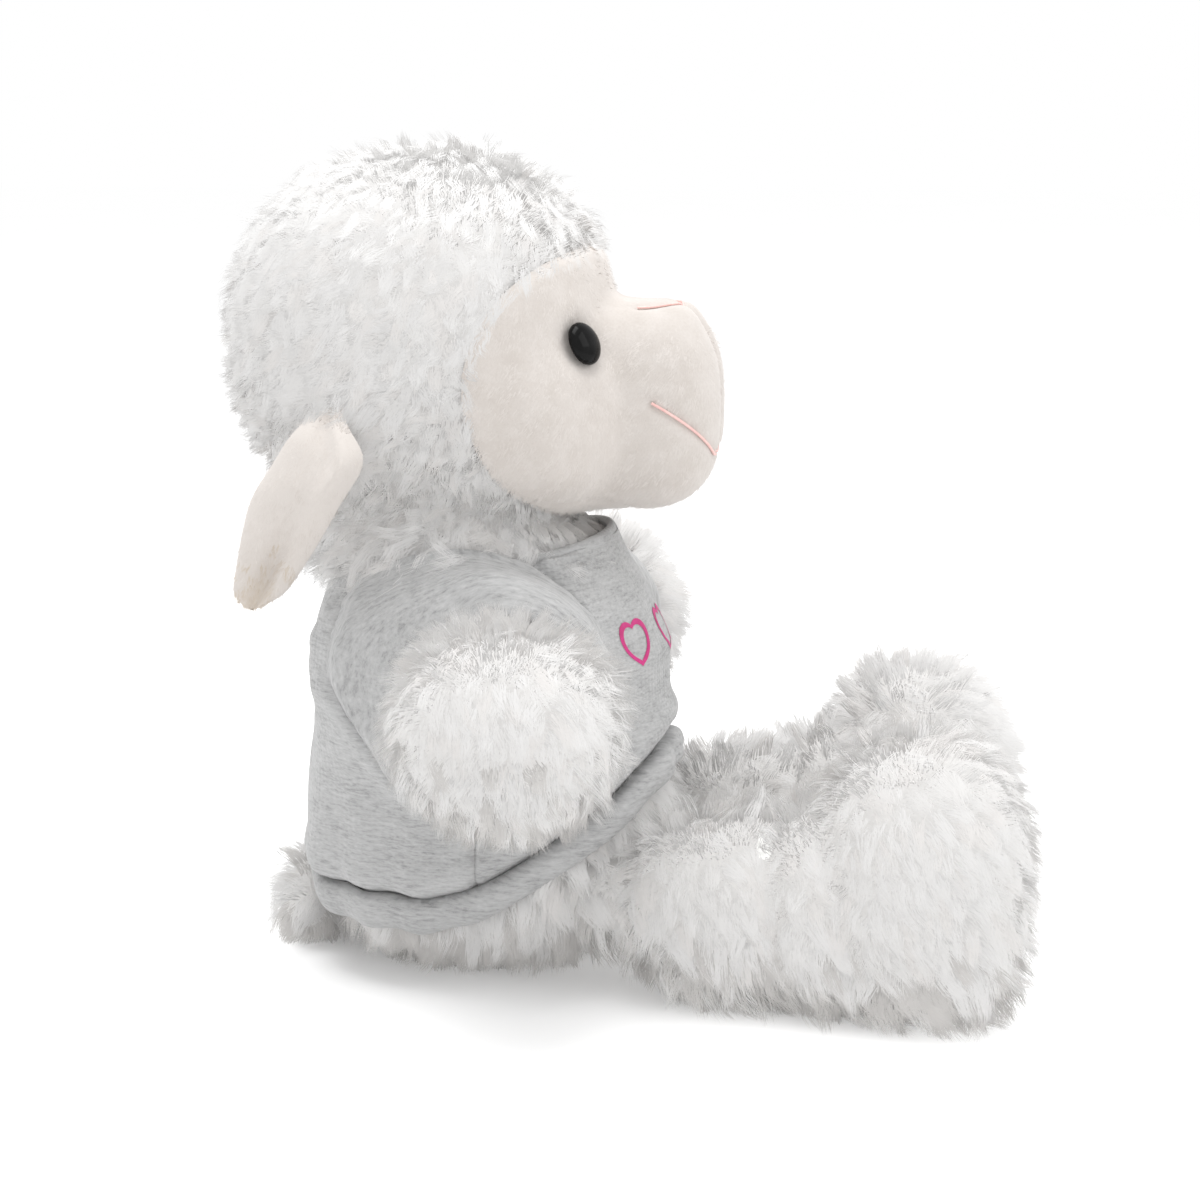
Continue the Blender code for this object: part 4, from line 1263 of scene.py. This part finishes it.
def make_arm(word, side):
    lobes, root = arm_lobes(side), sided(SHOULDER, side)
    points, faces = limb_surface(root, root + sided(PAW_STEP, side), lobes, LIMB_BACKING, 60, 90)
    points = lumpy(points, lobes, LIMB_BACKING, 0.012, 0.0008, side)

    def keep(roots):
        return side * roots[:, 0] > SLEEVE_END - 0.0090

    def trim(places):
        seam = bell(places[:, 2] - PAW_SEAM_HEIGHT, PAW_SEAM_WIDTH)
        seam = seam * (side * places[:, 0] > PAW_SEAM_START)
        return (1 - PAW_SEAM_TRIM * seam) * (1 + UNDER_SLEEVE_LENGTH * under_sleeve(places))

    def under_sleeve(places):
        return bell(side * places[:, 0] - UNDER_SLEEVE_PLACE, UNDER_SLEEVE_SPREAD)

    def flow(places):
        near = under_sleeve(places)[:, None]
        falling, outward = np.array((side * 0.5, -0.2, -0.8)), np.array((side * 0.75, 0, 0))
        return falling * (1 - near) + outward * near

    coat = {**ARM_COAT, "flow": flow, "trim": trim}
    name, node = f"arm_wool_{{}}_{word}", f"arm_cover_{word}"
    woolly(name, f"arm_{word}", (points, faces), lobes, LIMB_BACKING, node, coat, keep)


def make_leg(word, side):
    lobes, root, foot = leg_lobes(side), sided(HIP, side), sided(FOOT, side)
    points, faces = limb_surface(root, foot, lobes, LIMB_BACKING, 90, 90)
    points = lumpy(points, lobes, LIMB_BACKING, 0.013, 0.0010, 5 * side)
    skin = (off_floor(points, BACKING_FLOOR), faces)

    def trim(places):
        return 0.72 + 0.40 * portion(SOLE_HEIGHT - places[:, 2], SOLE_SPREAD)

    coat = {**LONG_COAT, "flow": toward(side * 0.45, -0.45, -0.8), "trim": trim}
    name, node = f"leg_wool_{{}}_{word}", f"leg_cover_{word}"
    woolly(name, f"leg_{word}", skin, lobes, LIMB_BACKING, node, coat, outside_torso)


def make_torso():
    points, faces = star_surface(TORSO, torso_lobes, TORSO_BACKING, 70, 110)
    skin = (off_floor(points, BACKING_FLOOR), faces)

    def keep(roots):
        return above_hem(roots, 0.004) < 0

    name = "torso_wool_{}"
    woolly(name, "torso", skin, torso_lobes, TORSO_BACKING, "torso_cover", LONG_COAT, keep)


def make_tail():
    points, faces = star_surface(TAIL, tail_lobes, TAIL_BACKING, 40, 64, (0, 1, 0))
    points = lumpy(points, tail_lobes, TAIL_BACKING, 0.008, 0.0008)
    skin = (off_floor(points, BACKING_FLOOR), faces)

    def keep(roots):
        return ~in_shirt(roots, 0.001)

    coat = {**LONG_COAT, "length": TAIL_LENGTH, "flow": toward(0, 0.5, -1)}
    woolly("tail_wool_{}", "torso", skin, tail_lobes, TAIL_BACKING, "tail_cover", coat, keep)


# T-shirt

TORSO_REACH = 0.0380
START_REACH = 0.1200
FINDING_STEPS = 34
SLEEVE_FILLET = 0.0140
UNDER_SLEEVE = 0.0035
NECK_FILLET = 0.0080
NECK_FLARE = 0.22
NECK_FADE = 0.45
NECK_LENGTH = 0.0300
COLLAR_UNDERSIDE = -0.0014
HEM_LIFT = 0.0002
HEM_SWELL = 0.0038
HEM_SWELL_IN_FRONT = 0.0008
BAND_INSET = -0.0010
BAND_HALF_THICKNESS = 0.0012
BAND_MIDDLE = -0.0018
BAND_HALF_HEIGHT = 0.0024
BAND_WAVE = 0.0004
SLEEVE_INMOST = 0.0110
SLEEVE_FOLD = 0.0010
SLEEVE_FOLDS = 5
SLEEVE_SWELL = 0.0016
TURN_IN = 0.0055
TURN_IN_ON_TOP = 0.0018
TURN_IN_START = 0.62
TURN_IN_LENGTH = 0.38
HANGING_FOLDS = 14
HANGING_FOLD = 0.0012
SEAM_DEPTH = 0.0015
SEAM_WIDTH = 0.0011
BESIDE_SEAM = 0.0007
HEM_DEPTH = 0.0021
ABOVE_HEM_SWELL = 0.0015
SIDE_SEAM_DEPTH = 0.0009
JERSEY_THICKNESS = 0.0010
RIBBING_THICKNESS = 0.0007
SHIRT_RINGS = 170
SHIRT_SEGMENTS = 300
STEP_SHARE = 0.75

# Flat cuts: half the girth by the longest column of cloth, less armholes and the rise of the hem
FRONT_CUT_AREA = 0.00578
BACK_CUT_AREA = 0.00871


def joined_gap(first, second, fillet):
    """The smaller of two distances, with a rounded fill where they are alike."""
    near = np.maximum(fillet - np.abs(first - second), 0) / fillet
    return np.minimum(first, second) - near * near * fillet / 4


def sleeve_section(share):
    """Middle and radii of the sleeve, a share of the way from the armhole to its hem."""
    around = ARMHOLE_RADIUS + SLEEVE_FLARE * share
    flatten = 1 - SLEEVE_FLATTEN * share
    return ARMHOLE[0] - SLEEVE_FORWARD * share, ARMHOLE[1] - SLEEVE_DROP * share, around, flatten


def above_collar(points):
    """Height above the plane of the neck opening, and how far out from its middle."""
    y, z = points[:, 1] - COLLAR[1], points[:, 2] - COLLAR[2]
    back = y * math.cos(COLLAR_TILT) - z * math.sin(COLLAR_TILT)
    rise = y * math.sin(COLLAR_TILT) + z * math.cos(COLLAR_TILT)
    return rise, np.hypot(points[:, 0] / COLLAR_HALF[0], back / COLLAR_HALF[1])


def tube_gap(points):
    out = np.abs(points[:, 0])
    share = portion(out - SLEEVE_START, SLEEVE_END - SLEEVE_START)
    y, z, around, flatten = sleeve_section(share)
    gap = np.hypot(points[:, 1] - y, (points[:, 2] - z) / flatten) - around
    return gap + np.maximum(SLEEVE_START - 0.004 - out, 0)


def body_gap(points):
    trunk = depth_in(points, torso_lobes, CLOTH_EASE + CLOTH) / LOBE_SHARPNESS * TORSO_REACH
    rise, ratio = above_collar(points)
    neck = (ratio - 1) * COLLAR_HALF[0] - NECK_FLARE * np.maximum(-rise, 0)
    neck = neck + NECK_FADE * np.maximum(-rise - NECK_LENGTH, 0)
    return joined_gap(trunk, neck, NECK_FILLET)


def cloth_gap(points):
    return joined_gap(body_gap(points), tube_gap(points), SLEEVE_FILLET)


def from_sleeve(points):
    """Above zero on the body of the shirt, below it on the sleeves: zero along the armhole seam."""
    high = portion(points[:, 2] - 0.058, 0.018)
    wide = 0.0030 + 0.0045 * high * high * (3 - 2 * high)
    return tube_gap(points) - body_gap(points) - wide


def below_neck(points):
    """Above zero where there is cloth: under the neck band, or out on the shoulders."""
    rise, ratio = above_collar(points)
    return np.maximum(COLLAR_UNDERSIDE - rise, (ratio - 1.06) * COLLAR_HALF[0])


def cloth_map(points):
    """Flat coordinates of the cut: along the rows of the knit, then up."""
    angle = np.unwrap(np.arctan2(points[:, 0], -points[:, 1]))
    return np.stack([angle * 0.043, points[:, 2]], axis=1)


def hanging_folds(points, height):
    """Soft folds that run up from the hem, spread unevenly round the waist."""
    angle = np.arctan2(points[:, 0], -points[:, 1])
    return height * (1 + np.cos(HANGING_FOLDS * angle + 2 * np.sin(3 * angle))) / 2


def worn(points):
    """Folds, creases and seams of the cloth as it is worn."""
    slope = [
        cloth_gap(points + axis * PROBE) - cloth_gap(points - axis * PROBE) for axis in np.eye(3)
    ]
    outward = unit(np.stack(slope, axis=-1))
    fall = portion(0.0700 - points[:, 2], 0.0450)
    push = hanging_folds(points, HANGING_FOLD * fall)
    push = push + noise(points * np.array((1, 1, 0.55)), 0.013, 7.7) * 0.0008
    push = push + noise(points * np.array((1, 1, 0.7)), 0.0062, 2.2) * 0.0003
    seam = from_sleeve(points)
    push = push - SEAM_DEPTH * bell(seam, SEAM_WIDTH)
    push = push + BESIDE_SEAM * bell(np.abs(seam) - 0.0030, 0.0020)
    pull = bell(seam, 0.0060) * noise(points, 0.0036, 5.5)
    hem = above_hem(points, HEM_BAND)
    push = push + 0.0005 * pull
    push = push - HEM_DEPTH * bell(np.maximum(hem, 0), 0.0015) - 0.6 * np.clip(-hem, 0, 0.0014)
    push = push + ABOVE_HEM_SWELL * bell(hem - 0.0050, 0.0036)
    side = points[:, 1] - SIDE_SEAM
    low = portion(0.056 - points[:, 2], 0.006)
    push = push - SIDE_SEAM_DEPTH * low * bell(side, 0.0009)
    return points + outward * push[:, None]


def make_shirt():
    directions = sphere_directions(SHIRT_RINGS, SHIRT_SEGMENTS)
    reach = np.full(len(directions), START_REACH)
    middle = np.array(TORSO)
    for _ in range(FINDING_STEPS):
        reach = reach - STEP_SHARE * cloth_gap(middle + directions * reach[:, None])
    points = middle + directions * np.clip(reach, 0, START_REACH)[:, None]
    faces = grid_triangles(SHIRT_RINGS, SHIRT_SEGMENTS)
    for name, sign, cut_area in (
        ("shirt_front_panel", -1, FRONT_CUT_AREA),
        ("shirt_back_panel", 1, BACK_CUT_AREA),
    ):
        part = (points, faces)
        for level in (
            lambda p: above_hem(p, HEM_BAND - 0.0030),
            lambda p: from_sleeve(p) + UNDER_SLEEVE,
            below_neck,
            lambda p: sign * (p[:, 1] - SIDE_SEAM),
        ):
            part = clipped(part[0], part[1], level(part[0]))
        node = name.removesuffix("_panel")
        tuck = np.clip(-from_sleeve(part[0]) - 0.0002, 0, 0.0018)
        cloth = worn(part[0]) - facing(part[0], torso_lobes, CLOTH) * tuck[:, None]
        panel = new_piece(name, "torso", cloth, part[1], jersey, "jersey", (node,), cloth_map)
        settle(panel, ("SOLIDIFY", {"thickness": JERSEY_THICKNESS, "offset": -1.0}))


def make_hem():
    points, faces = star_surface(TORSO, torso_lobes, CLOTH_EASE, 240, 280)
    share = above_hem(points) / HEM_BAND
    points, faces = clipped(points, faces, np.minimum(share + 0.10, 1.08 - share))
    share = np.clip(above_hem(points) / HEM_BAND, -0.10, 1.08)
    round_share = np.clip(1 - np.abs((share - 0.49) / 0.59) ** 2.6, 0, 1) ** 0.5
    outward = facing(points, torso_lobes, CLOTH)
    wave = hanging_folds(points, HANGING_FOLD)
    ahead = portion(-0.020 - points[:, 1], 0.012)
    swell = (HEM_SWELL + HEM_SWELL_IN_FRONT * ahead) * round_share
    out = HEM_LIFT + swell + wave + noise(points, 0.012, 1.3) * 0.0003
    points = points + outward * out[:, None]
    hem = new_piece(
        "hem_rib_band", "torso", points, faces, ribbing, "ribbing", ("hem_band",), cloth_map
    )
    settle(hem, ("SOLIDIFY", {"thickness": RIBBING_THICKNESS, "offset": -1.0}))


def collar_point(angle, grow, rise):
    across = (COLLAR_HALF[0] + grow) * np.sin(angle)
    back = (COLLAR_HALF[1] + grow) * np.cos(angle)
    y = COLLAR[1] + back * math.cos(COLLAR_TILT) + rise * math.sin(COLLAR_TILT)
    z = COLLAR[2] - back * math.sin(COLLAR_TILT) + rise * math.cos(COLLAR_TILT)
    return np.stack([across, y, z], axis=-1)


def ring_faces(rings, count, closed):
    faces = []
    for ring in range(rings if closed else rings - 1):
        here, onward = ring * count, (ring + 1) % rings * count
        for step in range(count):
            after = (step + 1) % count
            faces.append((here + step, here + after, onward + after, onward + step))
    return faces


def make_collar():
    """A folded band of ribbing with rounded edges."""
    sides, steps = 160, 16
    angle = turns(sides)
    rings = []
    for step in range(steps):
        turn = 2 * math.pi * step / steps
        grow = BAND_INSET + BAND_HALF_THICKNESS * math.cos(turn)
        level = math.copysign(abs(math.sin(turn)) ** 0.6, math.sin(turn))
        rise = BAND_MIDDLE + BAND_HALF_HEIGHT * level
        rings.append(collar_point(angle, grow, rise + BAND_WAVE * np.sin(3 * angle)))
    points = np.concatenate(rings)

    def rib_map(spots):
        around = np.unwrap(np.arctan2(spots[:, 0], -spots[:, 1]))
        return np.stack([around * 0.033, spots[:, 2]], axis=1)

    new_piece(
        "neck_rib_band", "torso", points, ring_faces(steps, sides, True), ribbing, "ribbing",
        ("neck_band",), rib_map,
    )


def make_sleeve(word, side):
    """A short sleeve that puffs out from the armhole seam and turns in at its hem."""
    sides, rows, inmost = 150, 54, SLEEVE_INMOST
    angle = turns(sides)
    out = inmost + (SLEEVE_END - inmost) * np.arange(rows + 1) / rows
    out, angle = (part.ravel() for part in np.meshgrid(out, angle, indexing="ij"))
    share = portion(out - SLEEVE_START, SLEEVE_END - SLEEVE_START)
    y, z, around, flatten = sleeve_section(share)

    def ring(reach):
        return np.stack(
            [side * out, y + reach * np.sin(angle), z + reach * flatten * np.cos(angle)], axis=1
        )

    reach = around.copy()
    for _ in range(FINDING_STEPS):
        reach = np.clip(reach - STEP_SHARE * cloth_gap(ring(reach)), 0.5 * around, around + 0.020)
    fold = SLEEVE_FOLD * share * (1 - np.cos(SLEEVE_FOLDS * angle)) / 2
    swell = SLEEVE_SWELL * np.sin(math.pi * share) ** 0.8
    at_hem = np.maximum(0, (share - TURN_IN_START) / TURN_IN_LENGTH)
    turn_in = (TURN_IN + TURN_IN_ON_TOP * np.cos(angle)) * at_hem**1.8
    cut = ring(reach)
    shaped = ring(reach + swell - turn_in - fold)
    faces = ring_faces(rows + 1, sides, False)
    if side > 0:
        faces = [face[::-1] for face in faces]
    shape = worn(cut) - cut + shaped
    value = np.minimum(0.0002 - from_sleeve(cut), below_neck(cut))
    value = np.where(out < SLEEVE_START, np.minimum(value, around + 0.0195 - reach), value)
    part = clipped(shape, faces, value)

    def sleeve_map(spots):
        around = np.unwrap(np.arctan2(spots[:, 1] - ARMHOLE[0], spots[:, 2] - ARMHOLE[1]))
        return np.stack([around * 0.026, np.abs(spots[:, 0])], axis=1)

    name = f"sleeve_cloth_{word}"
    sleeve = new_piece(name, None, *part, jersey, "jersey", (), sleeve_map)
    settle(sleeve, ("SOLIDIFY", {"thickness": JERSEY_THICKNESS, "offset": -1.0}))
    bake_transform(sleeve)
    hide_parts(f"sleeve_{word}")


HEART_WIDTH = 0.0110
HEART_LINE = 0.24
HEART_HEIGHT = 0.0790
HEART_PLACES = (-0.0185, 0, 0.0185)
HEART_EDGE = 1.14
HEART_REACH = 1.3
HEART_STEPS = 74
HEART_LIFT = 0.00012
INNER_RISE = 0.03


def make_hearts():
    """Three printed outlines of hearts on the chest."""
    front = bpy.data.objects["shirt_front_panel"]
    tree = bvhtree.BVHTree.FromObject(front, bpy.context.evaluated_depsgraph_get())
    steps = HEART_STEPS
    grid = np.linspace(-HEART_REACH, HEART_REACH, steps)
    u, v = (part.ravel() for part in np.meshgrid(grid, grid, indexing="ij"))

    def heart(u, v):
        return (u * u + v * v - 1) ** 3 - u * u * v**3

    def leaf(i, j):
        return i * steps + j

    quads = [
        (leaf(i, j), leaf(i + 1, j), leaf(i + 1, j + 1), leaf(i, j + 1))
        for i in range(steps - 1)
        for j in range(steps - 1)
    ]
    points, faces = [], []
    for place in HEART_PLACES:
        scale = HEART_WIDTH / 2 / HEART_EDGE
        inner = heart(u / (1 - HEART_LINE), (v - INNER_RISE) / (1 - HEART_LINE))
        value = np.minimum(-heart(u, v), inner)
        flat = np.stack([place + u * scale, np.zeros_like(u), HEART_HEIGHT + v * scale], axis=1)
        spots, kept = clipped(flat, quads, value)
        for spot in spots:
            hit, normal, _, _ = tree.ray_cast(Vector((spot[0], -0.2, spot[2])), Vector((0, 1, 0)))
            spot[:] = np.array(hit + normal * HEART_LIFT)
        faces += [tuple(corner + sum(map(len, points)) for corner in face) for face in kept]
        points.append(spots)
    new_piece("chest_hearts", "torso", np.concatenate(points), faces, print_look, "jersey")


# Fillings


def vertex_values(mesh, key):
    values = np.empty(len(mesh.vertices) * 3)
    mesh.vertices.foreach_get(key, values)
    return values.reshape(-1, 3)


def make_filling(node, body, look, voxel=0.0016, lump=0.0004):
    """Loose filling in the shape of the space that holds it."""
    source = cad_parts[node]
    made = linked(f"{node}_fill", source.data.copy())
    made.data.materials.clear()
    settle(
        made, ("REMESH", {"mode": "VOXEL", "voxel_size": voxel}),
        ("SMOOTH", {"factor": 0.5, "iterations": 2}),
    )
    mesh = made.data
    points, normals = vertex_values(mesh, "co"), vertex_values(mesh, "normal")
    points = points + normals * ((noise(points, 0.005, 6.6) - 1.2) * lump)[:, None]
    mesh.vertices.foreach_set("co", points.ravel())
    mesh.update()
    mesh.materials.clear()
    mesh.materials.append(look)
    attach(made, body)
    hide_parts(node)


# Camera, light and floor


CAMERA_TURN = math.radians(7)
CAMERA_RISE = math.radians(11)
CAMERA_TARGET = (0, -0.0254, 0.0860)
CAMERA_DISTANCE = 0.600
CAMERA_LENS = 75.63
SENSOR_WIDTH = 36
LAMP_TARGET = (0, 0, 0.08)
LAMP_SIZE = 0.8
LAMPS = (("key", (-0.15, -1.05, 0.85), 3.2), ("top", (0.05, 0.10, 1.15), 9.0))
FLOOR_REACH = 6.0


def make_lamp(name, place, power):
    lamp = bpy.data.lights.new(name, "AREA")
    lamp.energy = power
    lamp.size = LAMP_SIZE
    made = linked(name, lamp)
    made.location = place
    aim = Vector(LAMP_TARGET) - Vector(place)
    made.rotation_euler = aim.to_track_quat("-Z", "Y").to_euler()


def make_setting():
    scene = bpy.context.scene
    turn, rise = CAMERA_TURN, CAMERA_RISE
    back = (-math.cos(turn) * math.cos(rise), -math.sin(turn) * math.cos(rise), math.sin(rise))
    back = np.array(back)
    right = np.array((math.sin(turn), -math.cos(turn), 0))
    up = np.cross(back, right)
    spot = np.array(CAMERA_TARGET) + back * CAMERA_DISTANCE
    camera = bpy.data.cameras.new("camera")
    camera.lens = CAMERA_LENS
    camera.sensor_width = SENSOR_WIDTH
    camera.clip_start = 0.01
    made = linked("camera", camera)
    made.matrix_world = Matrix(
        [[right[row], up[row], back[row], spot[row]] for row in range(3)] + [[0, 0, 0, 1]]
    )
    scene.camera = made

    world = bpy.data.worlds.new("studio")
    world.use_nodes = True
    background = world.node_tree.nodes["Background"]
    background.inputs["Color"].default_value = (1, 1, 1, 1)
    background.inputs["Strength"].default_value = 1.0
    scene.world = world
    for name, place, power in LAMPS:
        make_lamp(name, place, power)

    floor_look = new_look("pale_floor", (0.995, 0.995, 0.995), 1.0, Specular_IOR_Level=0)
    tones = ramp(floor_look, grain(floor_look, 6), ((0.3, (0.994,) * 3), (0.7, (0.999,) * 3)))
    join(floor_look, tones, "Base Color")
    size = FLOOR_REACH
    corners = [(-size, -size, 0), (size, -size, 0), (size, size, 0), (-size, size, 0)]
    floor = new_piece("floor", None, corners, [(0, 1, 2, 3)], floor_look, None)
    scene.view_settings.view_transform = "Standard"


make_setting()
make_torso()
make_tail()
make_head()
make_face()
make_shirt()
make_hem()
make_collar()
make_hearts()
for word, side in SIDES:
    make_eye(word, side)
    make_ear(word, side)
    make_arm(word, side)
    make_leg(word, side)
    make_sleeve(word, side)
    for part in ("arm", "leg"):
        make_filling(f"{part}_stuffing_{word}", f"{part}_{word}", fill_look)
    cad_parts[f"eye_washer_{word}"].material_slots[0].material = washer_look
for part, body in (("torso", "torso"), ("tail", "torso"), ("head", "head")):
    make_filling(f"{part}_stuffing", body, fill_look)
make_filling("neck_stuffing", "neck", fill_look, 0.0010, 0.0002)
make_filling("pellet_bag", "torso", bag_look, 0.0008, 0.0003)
